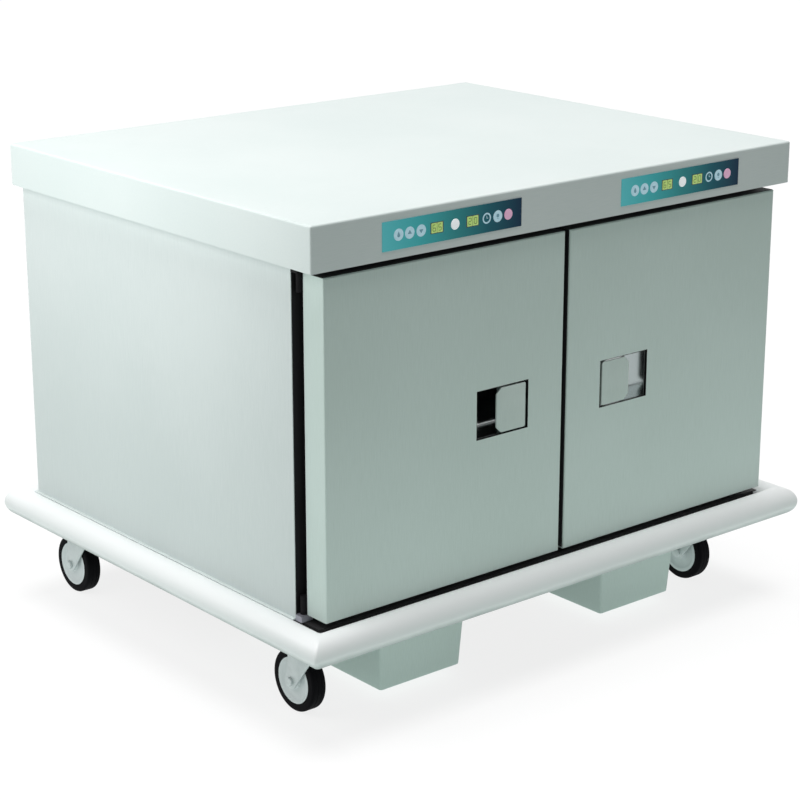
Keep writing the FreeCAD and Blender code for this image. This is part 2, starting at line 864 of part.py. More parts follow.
def fans():
    motors = []
    shaft = dims.shaft_diameter / 2
    for hand, side in hands:
        x = door_middle * side
        motor = new_body(f"motor_{hand}")
        profile = sketch_on(motor, "XZ_Plane", f"motor_profile_{hand}")
        bore = shaft + dims.shaft_fit
        foot = pan_bottom - dims.motor_length
        bore_end = pan_bottom - dims.shaft_reach - dims.fan_plate
        outline(profile, (
            (0, foot), (dims.motor_diameter / 2, foot),
            (dims.motor_diameter / 2, pan_bottom - dims.motor_flange),
            (dims.motor_flange_diameter / 2, pan_bottom - dims.motor_flange),
            (dims.motor_flange_diameter / 2, pan_bottom),
            (bore, pan_bottom), (bore, bore_end), (0, bore_end)))
        revolve(motor, profile, "V_Axis")
        place(motor, x, fan_y, 0)
        motors.append(motor)

        wheel = new_body(f"impeller_{hand}")
        turned = sketch_on(wheel, "XZ_Plane", f"impeller_profile_{hand}")
        hub = dims.fan_hub_diameter / 2
        rim = dims.fan_diameter / 2
        plate_top = fan_base + dims.fan_plate
        hub_top = fan_base + dims.fan_height
        shaft_end = pan_bottom - dims.shaft_reach
        outline(turned, (
            (0, shaft_end), (shaft, shaft_end), (shaft, fan_base), (rim, fan_base),
            (rim, plate_top), (hub, plate_top), (hub, hub_top), (0, hub_top)))
        revolve(wheel, turned, "V_Axis")
        vane = sketch_on(wheel, "XY_Plane", f"vane_plan_{hand}", fan_base)
        rectangle(vane, (dims.vane_inner_diameter / 2, rim), (-dims.fan_plate / 2, dims.fan_plate / 2))
        ring_of(wheel, pad(wheel, vane, dims.fan_height), fan_blades)
        place(wheel, x, fan_y, 0)
        node(wheel, f"{hand}_fan_impeller")
    node(group("motors", *motors), "fan_motors")


def heating_elements():
    """A ring round each impeller, with two legs down through glands in the floor to its terminals."""
    elements = []
    tube = dims.element_tube_diameter / 2
    z = chamber_floor + dims.element_height
    low = pan_bottom - dims.element_leg_drop
    for hand, side in hands:
        x = door_middle * side
        loop = doc.addObject("Part::Torus", f"element_loop_{hand}")
        bind(loop, "Radius1", dims.element_ring_diameter / 2)
        bind(loop, "Radius2", tube)
        place(loop, x, fan_y, z)
        legs = []
        for leg in (-1, 1):
            leg_x = x + dims.element_leg_spread / 2 * leg
            legs.append(rod(f"element_leg_{hand}_{leg + 1}", "z", (leg_x, element_leg_y, low), tube, z - low))
            legs.append(rod(f"element_gland_{hand}_{leg + 1}", "z", (leg_x, element_leg_y, chamber_floor),
                            dims.element_gland_diameter / 2, dims.element_gland_height))
        elements.append(join(f"element_{hand}", loop, *legs))
    node(group("elements", *elements), "heating_elements")


def fan_guards():
    """A low sheet cover over each fan, pierced above it and slotted at its sides."""
    guards = []
    half = dims.guard_width / 2
    wall = dims.sheet
    for hand, side in hands:
        guard = new_body(f"guard_{hand}")
        plan = sketch_on(guard, "XY_Plane", f"guard_plan_{hand}", chamber_floor)
        rectangle(plan, (-half, half), (-half, half))
        pad(guard, plan, dims.guard_height)
        hollow = sketch_on(guard, "XY_Plane", f"guard_hollow_{hand}", chamber_floor)
        rectangle(hollow, (wall - half, half - wall), (wall - half, half - wall))
        pocket(guard, hollow, dims.guard_height - wall, backwards=True)
        slots = sketch_on(guard, "YZ_Plane", f"guard_slots_{hand}", half)
        pitch = dims.guard_width / (guard_slots + 1)
        for number in range(guard_slots):
            rectangle(slots, about(pitch * (number + 1) - half, dims.guard_slot_width),
                      about(chamber_floor + dims.guard_height / 2, dims.guard_slot_height))
        pocket(guard, slots, dims.guard_width)
        roof = chamber_floor + dims.guard_height
        rings = ((inner_ring_holes, dims.guard_inner_ring), (outer_ring_holes, dims.guard_outer_ring))
        for count, ring in rings:
            hole = sketch_on(guard, "XY_Plane", f"guard_hole_{hand}_{count}", roof)
            circle(hole, ring / 2, 0, dims.guard_hole_diameter / 2)
            ring_of(guard, pocket(guard, hole, 2 * wall), count)
        place(guard, door_middle * side, fan_y, 0)
        guards.append(guard)
    node(group("guards", *guards), "fan_guards")


# Doors, hinges and flush handles

hinge_x = door_outer + dims.hinge_outset
hinge_y = door_back + dims.seal_gap / 2
handle_z = (door_bottom + door_top) / 2
cup_near = dims.handle_centre - dims.cup_width / 2
cup_far = dims.handle_centre + dims.cup_width / 2
cup_back = door_front + dims.cup_depth
pivot_x = cup_near + dims.pivot_inset
pivot_y = door_front + dims.pivot_depth
bar_front = pivot_y + dims.lever_thickness / 2 + dims.bar_clearance
bar_z = about(handle_z, dims.bar_height)
bar_room_y = (bar_front - dims.bar_clearance, bar_front + dims.bar_thickness + dims.bar_travel_room)
bar_room_z = about(handle_z, dims.bar_height + 2 * dims.bar_side_room)
nose_x = door_inner + dims.nose_inset


def door(hand, side):
    wall = dims.sheet
    across = sided(side, door_inner, door_outer)
    inside = sided(side, door_inner + wall, door_outer - wall)
    upright = (door_bottom, door_top)
    upright_inside = (door_bottom + wall, door_top - wall)
    tray_back = door_back - wall
    cup_span = sided(side, cup_near, cup_far)
    cup_rise = about(handle_z, dims.cup_height)

    skin = new_body(f"skin_{hand}")
    face = sketch_on(skin, "XZ_Plane", f"skin_face_{hand}", -door_front)
    rectangle(face, across, upright)
    slab = pad(skin, face, dims.door_thickness - wall, backwards=True)
    near = slab.Shape.BoundBox.YMin
    round_edges(skin, slab, lambda box: box.YMax < near + 1, dims.door_radius)
    hollow = sketch_on(skin, "XZ_Plane", f"skin_hollow_{hand}", -tray_back)
    rectangle(hollow, inside, upright_inside)
    pocket(skin, hollow, dims.door_thickness - 2 * wall, backwards=True)
    window = sketch_on(skin, "XZ_Plane", f"skin_window_{hand}", -door_front)
    rectangle(window, cup_span, cup_rise)
    pocket(skin, window, 2 * wall)
    node(skin, f"{hand}_door_skin")

    nose_hole = rod(f"nose_hole_{hand}", "y", (nose_x * side, tray_back, handle_z),
                    dims.nose_diameter / 2 + dims.bar_clearance, wall)
    plate = block(f"door_back_plate_{hand}", across, (tray_back, door_back), upright)
    node(cut(f"door_liner_{hand}", plate, nose_hole), f"{hand}_door_liner")

    wool = block(f"door_wool_{hand}", inside, (door_front + wall, tray_back), upright_inside)
    pocket_room = block(f"door_cup_room_{hand}", cup_span, (door_front + wall, cup_back), cup_rise)
    bar_room = block(f"door_bar_room_{hand}", sided(side, door_inner + wall, cup_near),
                     bar_room_y, bar_room_z)
    nose_room = rod(f"door_nose_room_{hand}", "y", (nose_x * side, bar_front, handle_z),
                    dims.nose_diameter / 2 + dims.bar_clearance, tray_back - bar_front)
    node(cut(f"door_core_solid_{hand}", wool, pocket_room, bar_room, nose_room), f"{hand}_door_core")

    inner_x = (chamber_near - dims.gasket_margin, chamber_far + dims.gasket_margin)
    inner_z = (chamber_floor - dims.gasket_margin, chamber_roof + dims.gasket_margin)
    rim = dims.gasket_width
    deep = (door_back, body_front - dims.gasket_clearance)
    seal = block(f"seal_{hand}", sided(side, inner_x[0] - rim, inner_x[1] + rim), deep,
                 (inner_z[0] - rim, inner_z[1] + rim))
    gap = block(f"seal_gap_{hand}", sided(side, *inner_x), deep, inner_z)
    node(cut(f"gasket_{hand}", seal, gap), f"{hand}_door_gasket")


def door_hinges(hand, side):
    """Knuckles on the door turn on pins that stand in a bracket below and hang from one above."""
    axis_x = hinge_x * side
    knuckles = []
    brackets = []
    pin = dims.hinge_pin_radius
    width = sided(side, hinge_x - dims.bracket_width / 2, hinge_x + dims.bracket_width / 2)
    deep = (door_back, body_front)
    ends = (("lower", door_bottom, body_bottom, door_bottom - dims.bracket_clearance),
            ("upper", door_top - dims.knuckle_height, door_top + dims.bracket_clearance, slab_bottom))
    for name, low, foot, head in ends:
        barrel = rod(f"knuckle_{name}_{hand}", "z", (axis_x, hinge_y, low), dims.knuckle_radius,
                     dims.knuckle_height)
        leaf = block(f"leaf_{name}_{hand}", sided(side, hinge_x - dims.leaf_width, hinge_x),
                     (door_back, hinge_y), (low, low + dims.knuckle_height))
        bore = rod(f"knuckle_bore_{name}_{hand}", "z", (axis_x, hinge_y, low), pin + dims.hinge_fit,
                   dims.knuckle_height)
        knuckles.append(cut(f"knuckle_solid_{name}_{hand}", join(f"knuckle_leaf_{name}_{hand}", barrel, leaf),
                            bore))
        stand = block(f"hinge_block_{name}_{hand}", width, deep, (foot, head))
        start = foot if name == "lower" else low
        pin_rod = rod(f"hinge_pin_{name}_{hand}", "z", (axis_x, hinge_y, start), pin,
                      head - foot + dims.knuckle_height + dims.bracket_clearance)
        brackets.append(join(f"hinge_{name}_{hand}", stand, pin_rod))
    node(group(f"knuckles_{hand}", *knuckles), f"{hand}_hinge_knuckles")
    return brackets


def handle(hand, side):
    """A sheet cup with a pivot pin, a sprung pull paddle and the bar that it pushes."""
    wall = dims.cup_wall
    rise = about(handle_z, dims.cup_height)
    rise_inside = (rise[0] + wall, rise[1] - wall)
    shell = block(f"cup_shell_{hand}", sided(side, cup_near, cup_far), (door_front, cup_back), rise)
    room = block(f"cup_room_{hand}", sided(side, cup_near + wall, cup_far - wall),
                 (door_front, cup_back - wall), rise_inside)
    slot = block(f"cup_slot_{hand}", sided(side, cup_near, cup_near + wall), bar_room_y, bar_room_z)
    pin = rod(f"cup_pin_{hand}", "z", (pivot_x * side, pivot_y, rise_inside[0]),
              dims.pivot_pin_diameter / 2, dims.cup_height - 2 * wall)
    node(group(f"cup_{hand}", cut(f"cup_tray_{hand}", shell, room, slot), pin), f"{hand}_handle_cup")

    paddle = new_body(f"paddle_{hand}")
    gap = dims.paddle_edge_gap
    low = rise_inside[0] + gap
    high = rise_inside[1] - gap
    near = cup_near + dims.paddle_side_gap
    far = near + dims.paddle_width
    nip = dims.paddle_chamfer
    face = sketch_on(paddle, "XZ_Plane", f"paddle_face_{hand}", -door_front)
    outline(face, [(x * side, z) for x, z in (
        (near, low), (far - nip, low), (far, low + nip), (far, high - nip), (far - nip, high), (near, high))])
    pad(paddle, face, dims.paddle_thickness, backwards=True)
    barrel = dims.barrel_diameter / 2
    bore = dims.pivot_pin_diameter / 2 + dims.pivot_fit
    web = sketch_on(paddle, "XY_Plane", f"paddle_web_{hand}", low)
    rectangle(web, sided(side, pivot_x - barrel, pivot_x + barrel),
              (door_front + dims.paddle_thickness / 2, pivot_y))
    pad(paddle, web, high - low)
    tube = sketch_on(paddle, "XY_Plane", f"paddle_barrel_{hand}", low)
    circle(tube, pivot_x * side, pivot_y, barrel)
    pad(paddle, tube, high - low)
    lever = sketch_on(paddle, "XY_Plane", f"paddle_lever_{hand}", bar_z[0])
    rectangle(lever, sided(side, pivot_x - dims.lever_reach, pivot_x),
              about(pivot_y, dims.lever_thickness))
    pad(paddle, lever, dims.bar_height)
    hole = sketch_on(paddle, "XY_Plane", f"paddle_bore_{hand}", low)
    circle(hole, pivot_x * side, pivot_y, bore)
    pocket(paddle, hole, high - low, backwards=True)
    node(paddle, f"{hand}_handle_paddle")

    bar_back = bar_front + dims.bar_thickness
    nose_tip = body_front - dims.nose_standoff
    reach = pivot_x - dims.lever_reach + dims.bar_overlap
    bar = block(f"bar_flat_{hand}", sided(side, nose_x - dims.nose_diameter / 2, reach),
                (bar_front, bar_back), bar_z)
    nose = rod(f"bar_nose_{hand}", "y", (nose_x * side, bar_front, handle_z), dims.nose_diameter / 2,
               nose_tip - bar_front)
    node(join(f"push_bar_{hand}", bar, nose), f"{hand}_push_bar")


# Castors

def castor_mountings():
    """A plate with a bearing race and king pin above each fork, and the bolts that hold it."""
    plates = []
    pin = dims.king_pin_diameter / 2
    top = rail_bottom
    plate_low = top - dims.plate_thickness
    race_low = plate_low - dims.race_height
    nut_high = crown_low - dims.swivel_clearance
    nut_low = nut_high - dims.king_nut_height
    for row, y in castor_rows.items():
        for hand, side in hands:
            tag = f"{row}_{hand}"
            x = castor_x * side
            plate = new_body(f"plate_{tag}")
            plan = sketch_on(plate, "XY_Plane", f"plate_plan_{tag}", plate_low)
            rectangle(plan, about(as_size(0), dims.plate_length), about(as_size(0), dims.plate_width))
            for corner in range(4):
                circle(plan, dims.bolt_spread_x / 2 * (1 if corner % 2 else -1),
                       dims.bolt_spread_y / 2 * (1 if corner // 2 else -1),
                       dims.bolt_diameter / 2 + dims.bolt_fit)
            pad(plate, plan, dims.plate_thickness)
            stem = sketch_on(plate, "XZ_Plane", f"plate_stem_{tag}")
            race = dims.race_diameter / 2
            nut = dims.king_nut_diameter / 2
            outline(stem, ((0, nut_low), (nut, nut_low), (nut, nut_high), (pin, nut_high),
                           (pin, race_low), (race, race_low), (race, plate_low), (0, plate_low)))
            revolve(plate, stem, "V_Axis")
            place(plate, x, y, 0)
            plates.append(plate)
    node(group("plates", *plates), "castor_plates")

    shanks = castor_bolts("bolt", dims.bolt_diameter / 2, plate_low, top + 2 * dims.rail_wall)
    heads = castor_bolts("bolt_head", dims.bolt_head_diameter / 2, plate_low - dims.bolt_head_height,
                         plate_low)
    bolts = [join(shank.Name + "_whole", shank, head) for shank, head in zip(shanks, heads)]
    screw_x = body_half - dims.screw_inset
    for side in (-1, 1):
        for number in range(screws_per_side):
            share = number / (screws_per_side - 1)
            z = body_bottom + dims.screw_inset + (slab_bottom - body_bottom - 2 * dims.screw_inset) * share
            bolts.append(rod(f"screw_{side + 1}_{number}", "y", (screw_x * side, body_back, z),
                             dims.screw_diameter / 2, dims.screw_head))
    node(group("fixings", *bolts), "fasteners")


crown_low = ground + dims.wheel_diameter + dims.fork_clearance
leg_inner = dims.wheel_width / 2 + dims.fork_side_gap
leg_outer = leg_inner + dims.fork_thickness
wheel_radius = dims.wheel_diameter / 2
axle_z = ground + wheel_radius


def castor(row, hand, x, y):
    """A swivel fork with its axle, and a wheel of hub and tyre that trails behind the king pin."""
    tag = f"{row}_{hand}"
    trail = dims.castor_trail
    axle = dims.axle_diameter / 2
    boss = dims.fork_boss_diameter / 2
    crown_top = crown_low + dims.crown_thickness

    fork = new_body(f"fork_{tag}")
    crown = sketch_on(fork, "XY_Plane", f"crown_{tag}", crown_low)
    rectangle(crown, (-leg_outer, leg_outer), (-dims.crown_front, dims.crown_back))
    pad(fork, crown, dims.crown_thickness)
    for name, offset in (("left", -leg_outer), ("right", leg_inner)):
        leg = sketch_on(fork, "YZ_Plane", f"leg_{name}_{tag}", offset)
        outline(leg, ((-dims.crown_front, crown_top), (trail - boss, axle_z),
                      (trail + boss, axle_z), (dims.crown_back, crown_top)))
        pad(fork, leg, dims.fork_thickness)
        end = sketch_on(fork, "YZ_Plane", f"leg_end_{name}_{tag}", offset)
        circle(end, trail, axle_z, boss)
        pad(fork, end, dims.fork_thickness)
    drill = sketch_on(fork, "YZ_Plane", f"axle_hole_{tag}", leg_outer)
    circle(drill, trail, axle_z, axle)
    pocket(fork, drill, 2 * leg_outer)
    collar = sketch_on(fork, "XY_Plane", f"collar_{tag}", crown_top)
    circle(collar, 0, 0, dims.collar_diameter / 2)
    race_low = rail_bottom - dims.plate_thickness - dims.race_height
    pad(fork, collar, race_low - dims.swivel_clearance - crown_top)
    bore = sketch_on(fork, "XY_Plane", f"king_bore_{tag}", race_low)
    circle(bore, 0, 0, dims.king_pin_diameter / 2 + dims.axle_fit)
    pocket(fork, bore, race_low - crown_low)
    place(fork, x, y, 0)

    head = dims.axle_head_height
    axis = (y + trail, axle_z)
    pin = join(f"axle_{tag}",
               rod(f"axle_rod_{tag}", "x", (x - leg_outer, *axis), axle, 2 * leg_outer),
               rod(f"axle_head_{tag}", "x", (x - leg_outer - head, *axis), dims.axle_head_diameter / 2, head),
               rod(f"axle_nut_{tag}", "x", (x + leg_outer, *axis), dims.axle_head_diameter / 2, head))
    node(group(f"fork_axle_{tag}", fork, pin), f"{tag}_castor_fork")

    half = dims.wheel_width / 2
    rim = dims.hub_diameter / 2
    side_face = leg_inner - dims.swivel_clearance
    bore_radius = axle + dims.axle_fit
    hub = new_body(f"hub_{tag}")
    profile = sketch_on(hub, "XZ_Plane", f"hub_profile_{tag}")
    outline(profile, ((-side_face, bore_radius), (-side_face, dims.hub_boss_diameter / 2),
                      (-half, dims.hub_boss_diameter / 2), (-half, rim), (half, rim),
                      (half, dims.hub_boss_diameter / 2), (side_face, dims.hub_boss_diameter / 2),
                      (side_face, bore_radius)))
    revolve(hub, profile, "H_Axis")
    place(hub, x, *axis)
    node(hub, f"{tag}_wheel_hub")

    tyre = new_body(f"tyre_{tag}")
    profile = sketch_on(tyre, "XZ_Plane", f"tyre_profile_{tag}")
    nip = dims.tread_chamfer
    outline(profile, ((-half, rim), (-half, wheel_radius - nip), (nip - half, wheel_radius),
                      (half - nip, wheel_radius), (half, wheel_radius - nip), (half, rim)))
    revolve(tyre, profile, "H_Axis")
    place(tyre, x, *axis)
    node(tyre, f"{tag}_tyre")


# Build every piece

chassis()
floor_pan()
bumper()
bumper_stays()
body_panels()
chamber_liners()
insulation()
tray_runners()
temperature_probes()
worktop()
keypads()
control_boards()
mains_inlet()
heater_boxes()
fans()
heating_elements()
fan_guards()
hinge_brackets = []
for hand, side in hands:
    door(hand, side)
    hinge_brackets += door_hinges(hand, side)
    handle(hand, side)
node(group("brackets", *hinge_brackets), "hinge_brackets")
castor_mountings()
for row, y in castor_rows.items():
    for hand, side in hands:
        castor(row, hand, castor_x * side, y)
doc.recompute()

for item in doc.Objects:
    if "Invalid" in item.State or "Error" in item.State:
        raise RuntimeError(f"{item.Label} is not built: {item.State}")
for piece in nodes:
    if piece.Shape.isNull() or not piece.Shape.isValid() or not piece.Shape.Solids:
        raise RuntimeError(f"{piece.Label} has no valid solid")

os.makedirs("parts", exist_ok=True)
for piece in nodes:
    piece.Shape.exportStep(f"parts/{piece.Label}.step")
    print(piece.Label, len(piece.Shape.Solids), round(piece.Shape.Volume / 1000, 1))
print(len(nodes), "pieces")
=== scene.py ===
import json
from math import pi, radians

import bmesh
import bpy
import numpy as np
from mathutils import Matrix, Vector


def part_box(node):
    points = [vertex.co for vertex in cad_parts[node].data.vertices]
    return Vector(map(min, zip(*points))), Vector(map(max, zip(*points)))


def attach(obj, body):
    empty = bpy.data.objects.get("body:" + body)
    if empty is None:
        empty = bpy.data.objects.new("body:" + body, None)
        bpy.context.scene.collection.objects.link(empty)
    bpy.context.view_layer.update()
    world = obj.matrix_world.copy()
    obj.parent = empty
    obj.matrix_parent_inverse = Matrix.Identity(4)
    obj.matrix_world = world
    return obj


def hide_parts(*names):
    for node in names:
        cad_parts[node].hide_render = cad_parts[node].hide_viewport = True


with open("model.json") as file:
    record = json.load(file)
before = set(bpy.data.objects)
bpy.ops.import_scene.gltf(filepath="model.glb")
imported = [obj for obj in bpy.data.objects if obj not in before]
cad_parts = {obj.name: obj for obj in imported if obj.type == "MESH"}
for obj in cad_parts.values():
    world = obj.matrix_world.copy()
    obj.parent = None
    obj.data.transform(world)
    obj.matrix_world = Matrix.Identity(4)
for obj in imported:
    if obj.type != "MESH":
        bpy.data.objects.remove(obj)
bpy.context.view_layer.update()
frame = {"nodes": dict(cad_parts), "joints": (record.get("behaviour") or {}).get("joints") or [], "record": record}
nodes = frame["nodes"]
pivots = {joint["name"]: joint["pos_m"] for joint in frame["joints"] if "pos_m" in joint}
bayMiddle = pivots["right_fan_spin"][0]  # the middle of each chamber, heater box and keypad, from the centre
hands = (("left", -1), ("right", 1))
castors = [f"{row}_{hand}" for row in ("front", "rear") for hand, side in hands]
print("frame:", len(nodes), "nodes")


# Node trees: a few helpers, then one finish for each material slot

def newFinish(name):
    finish = bpy.data.materials.new(name)
    finish.use_nodes = True
    return finish, finish.node_tree, finish.node_tree.nodes["Principled BSDF"]


def addNode(tree, kind, inputs=(), **settings):
    item = tree.nodes.new(kind)
    for key, value in settings.items():
        setattr(item, key, value)
    for key, value in inputs:
        if isinstance(value, bpy.types.NodeSocket):
            tree.links.new(value, item.inputs[key])
        else:
            item.inputs[key].default_value = value
    return item


# Two values put together: added, taken away, folded or the larger one
def combine(tree, first, operation, second):
    return addNode(tree, "ShaderNodeMath", ((0, first), (1, second)), operation=operation).outputs[0]


# One of the piece's own coordinates
def placeOn(tree, axis):
    coords = addNode(tree, "ShaderNodeTexCoord")
    split = addNode(tree, "ShaderNodeSeparateXYZ", (("Vector", coords.outputs["Object"]),))
    return split.outputs[axis]


# Noise on the piece's own coordinates, squeezed or drawn out along each axis
def noiseOn(tree, scale, stretch=(1, 1, 1), detail=3, rough=0.5):
    coords = addNode(tree, "ShaderNodeTexCoord")
    mapping = addNode(tree, "ShaderNodeMapping", (("Vector", coords.outputs["Object"]), ("Scale", stretch)))
    noise = addNode(tree, "ShaderNodeTexNoise", (
        ("Vector", mapping.outputs["Vector"]), ("Scale", scale), ("Detail", detail), ("Roughness", rough)))
    return noise.outputs["Fac"]


noiseLow, noiseHigh = 0.3, 0.7  # most of a noise lies between these


# A value between start and end, carried over to low and high
def spread(tree, value, low, high, start=noiseLow, end=noiseHigh):
    item = addNode(tree, "ShaderNodeMapRange", (
        ("Value", value), ("From Min", start), ("From Max", end), ("To Min", low), ("To Max", high)))
    return item.outputs["Result"]


def ramp(tree, value, stops):
    item = addNode(tree, "ShaderNodeValToRGB", (("Fac", value),))
    marks = item.color_ramp.elements
    while len(marks) < len(stops):
        marks.new(1.0)
    for mark, (place, colour) in zip(marks, stops):
        mark.position = place
        mark.color = (*colour, 1)
    return item.outputs["Color"]


def lightUp(tree, shader, tones, strength):
    tree.links.new(tones, shader.inputs["Emission Color"])
    shader.inputs["Emission Strength"].default_value = strength


def bumpFrom(tree, shader, height, strength, distance):
    item = addNode(tree, "ShaderNodeBump", (
        ("Height", height), ("Strength", strength), ("Distance", distance)))
    tree.links.new(item.outputs["Normal"], shader.inputs["Normal"])


# A grain that moves the roughness, and the same grain as a fine bump
def addGrain(tree, shader, look):
    grain = noiseOn(tree, look["grain"], look.get("stretch", (1, 1, 1)), look.get("detail", 4),
                    look.get("harsh", 0.6))
    tree.links.new(spread(tree, grain, *look["rough"]), shader.inputs["Roughness"])
    bumpFrom(tree, shader, grain, look["bump"], look.get("depth", 0.0004))
    return grain


def setGloss(shader, look):
    shader.inputs["Metallic"].default_value = look.get("metallic", 0)
    shader.inputs["Coat Weight"].default_value = look.get("coat", 0)
    shader.inputs["Coat Roughness"].default_value = 0.2
    shader.inputs["Specular IOR Level"].default_value = look.get("specular", 0.5)


patchStops = (0.32, 0.68)  # where the noise turns from the first tone to the second


# Two tones in soft patches under a grain, which also shows in the tone of brushed metal
def makeFinish(name, look):
    finish, tree, shader = newFinish(name)
    setGloss(shader, look)
    grain = addGrain(tree, shader, look)
    patches = noiseOn(tree, look["patch"])
    if "brushed" in look:
        patches = combine(tree, patches, "ADD", spread(tree, grain, -look["brushed"], look["brushed"]))
    tones = ramp(tree, patches, tuple(zip(patchStops, look["tones"])))
    tree.links.new(tones, shader.inputs["Base Color"])
    if "glow" in look:  # painted glow, brighter than the light falling on the face
        lightUp(tree, shader, tones, look["glow"])
    return finish


satin = {"patch": 1.8, "metallic": 0.05, "grain": 900, "stretch": (1, 1, 0.03), "rough": (0.34, 0.46),
         "bump": 0.05, "specular": 0.3, "brushed": 0.2}
paintedGlowKey = {"patch": 60, "grain": 2500, "rough": (0.28, 0.38), "bump": 0.05, "coat": 0.2, "glow": 0.4}
ink = {"patch": 120, "grain": 2400, "rough": (0.3, 0.4), "bump": 0.03}
looks = {
    "worktop": satin | {"tones": ((0.66, 0.735, 0.72), (0.71, 0.775, 0.76)), "patch": 2.2,
                        "stretch": (0.03, 1, 1)},
    "steel": satin | {"tones": ((0.63, 0.695, 0.685), (0.68, 0.74, 0.73))},
    # The same steel with a greener tint, painted in for the tinted light on the front faces
    "door_steel": satin | {"tones": ((0.61, 0.725, 0.68), (0.66, 0.775, 0.735))},
    "handle_steel": satin | {"tones": ((0.57, 0.67, 0.63), (0.62, 0.72, 0.68)), "patch": 14,
                             "stretch": (1, 1, 0.04), "rough": (0.32, 0.44)},
    "chamber_steel": {"tones": ((0.58, 0.61, 0.61), (0.66, 0.69, 0.69)), "patch": 4, "metallic": 0.6,
                      "grain": 700, "stretch": (1, 0.04, 1), "rough": (0.28, 0.42), "bump": 0.06,
                      "brushed": 0.2},
    # The chassis is near black as painted shade: it shows only in the shadow under the doors
    "chassis_paint": {"tones": ((0.010, 0.010, 0.011), (0.018, 0.018, 0.019)), "patch": 9, "grain": 1400,
                      "rough": (0.5, 0.65), "bump": 0.12, "specular": 0.3},
    # The front frame is black as painted shade: it shows only in the slot beside the doors, which lies in shadow
    "black_frame": {"tones": ((0.006, 0.006, 0.007), (0.011, 0.011, 0.012)), "patch": 8, "grain": 1500,
                    "rough": (0.5, 0.65), "bump": 0.1, "specular": 0.25},
    "gasket": {"tones": ((0.010, 0.010, 0.011), (0.018, 0.018, 0.019)), "patch": 20, "grain": 1800,
               "rough": (0.55, 0.7), "bump": 0.12, "specular": 0.3},
    "board": {"tones": ((0.012, 0.08, 0.035), (0.02, 0.11, 0.05)), "patch": 60, "grain": 900,
              "rough": (0.35, 0.5), "bump": 0.1, "coat": 0.3},
    "main_button": paintedGlowKey | {"tones": ((0.76, 0.79, 0.80), (0.82, 0.85, 0.86))},
    "power_button": paintedGlowKey | {"tones": ((0.56, 0.30, 0.44), (0.63, 0.35, 0.50))},
    "black_plastic": {"tones": ((0.008, 0.008, 0.009), (0.015, 0.015, 0.016)), "patch": 30, "grain": 1800,
                      "rough": (0.4, 0.52), "bump": 0.15, "specular": 0.3},
    "motor": {"tones": ((0.24, 0.25, 0.26), (0.31, 0.32, 0.33)), "patch": 18, "metallic": 0.85,
              "grain": 600, "stretch": (1, 1, 0.1), "rough": (0.35, 0.5), "bump": 0.1},
    # Knuckles in black as painted shade: they stand in the door's gap, which lies in shadow
    "hinge_black": {"tones": ((0.006, 0.006, 0.007), (0.012, 0.012, 0.013)), "patch": 40, "grain": 1200,
                    "stretch": (1, 1, 0.1), "rough": (0.45, 0.6), "bump": 0.08, "specular": 0.08},
    "zinc": {"tones": ((0.58, 0.63, 0.63), (0.68, 0.73, 0.73)), "patch": 40, "metallic": 0.25,
             "grain": 800, "rough": (0.34, 0.5), "bump": 0.08},
    "hub": {"tones": ((0.70, 0.73, 0.74), (0.76, 0.79, 0.80)), "patch": 24, "grain": 1800,
            "rough": (0.4, 0.52), "bump": 0.08},
    "tyre": {"tones": ((0.002, 0.002, 0.003), (0.005, 0.005, 0.006)), "patch": 26, "grain": 1200,
             "rough": (0.6, 0.8), "bump": 0.25, "specular": 0.06},
    # The printed discs and signs carry a painted glow
    "symbol": ink | {"tones": ((0.33, 0.52, 0.60), (0.40, 0.58, 0.66)), "glow": 0.4},
    "glyph": ink | {"tones": ((0.10, 0.24, 0.31), (0.13, 0.28, 0.35)), "glow": 0.3},
    "bezel": {"tones": ((0.010, 0.030, 0.032), (0.016, 0.040, 0.042)), "patch": 90, "grain": 2200,
              "rough": (0.2, 0.3), "bump": 0.03, "coat": 0.4},
    "digit": {"tones": ((0.05, 0.13, 0.02), (0.07, 0.17, 0.03)), "patch": 200, "grain": 2200,
              "rough": (0.3, 0.4), "bump": 0.02},
}
finishes = {name: makeFinish(name, look) for name, look in looks.items()}


# Tones by place: a coordinate, read between two marks and moved by a mottle, is looked up on a ramp.
# Bumper: pale paint with painted shade, darker towards the floor. Hinges: zinc at the door's foot, painted shade
# in black above, where the gap beside the door lies in shadow.
# Handle cups: polished metal with painted shade in black round the mouth.
# Black used as painted shade, on the hinges above the door's foot and round the cup mouths
shadeBlack = (0.006, 0.006, 0.007)
gradedLooks = {
    # painted shade: the tube darkens towards its underside
    "bumper": {"axis": "Z", "marks": (0.174, 0.204), "mottle": (12, -0.06, 0.06), "coat": 0.1,
               "stops": ((0.0, (0.14, 0.18, 0.17)), (0.35, (0.40, 0.45, 0.44)), (0.70, (0.84, 0.86, 0.86))),
               "grain": 1600, "harsh": 0.5, "rough": (0.36, 0.48), "bump": 0.04},
    # painted shade: black above the door's foot, where the hinge stands in the door's shadowed gap
    "hinge_steel": {"axis": "Z", "marks": (0.2365, 0.2395), "mottle": (60, 0.0, 0.15), "specular": 0.08,
                    "stops": ((0.0, (0.46, 0.46, 0.52)), (1.0, shadeBlack)), "grain": 900,
                    "stretch": (1, 1, 0.05), "harsh": 0.5, "rough": (0.32, 0.46), "bump": 0.06,
                    "depth": 0.0003},
    # painted shade: black round the mouth of the pocket
    "cup_steel": {"axis": "Y", "marks": (-0.4865, -0.4835), "metalPast": True, "specular": 0.2,
                  "stops": ((0.0, shadeBlack), (1.0, (0.60, 0.64, 0.64))), "grain": 900,
                  "stretch": (1, 1, 0.04), "harsh": 0.5, "rough": (0.08, 0.16), "bump": 0.02,
                  "depth": 0.0003},
}


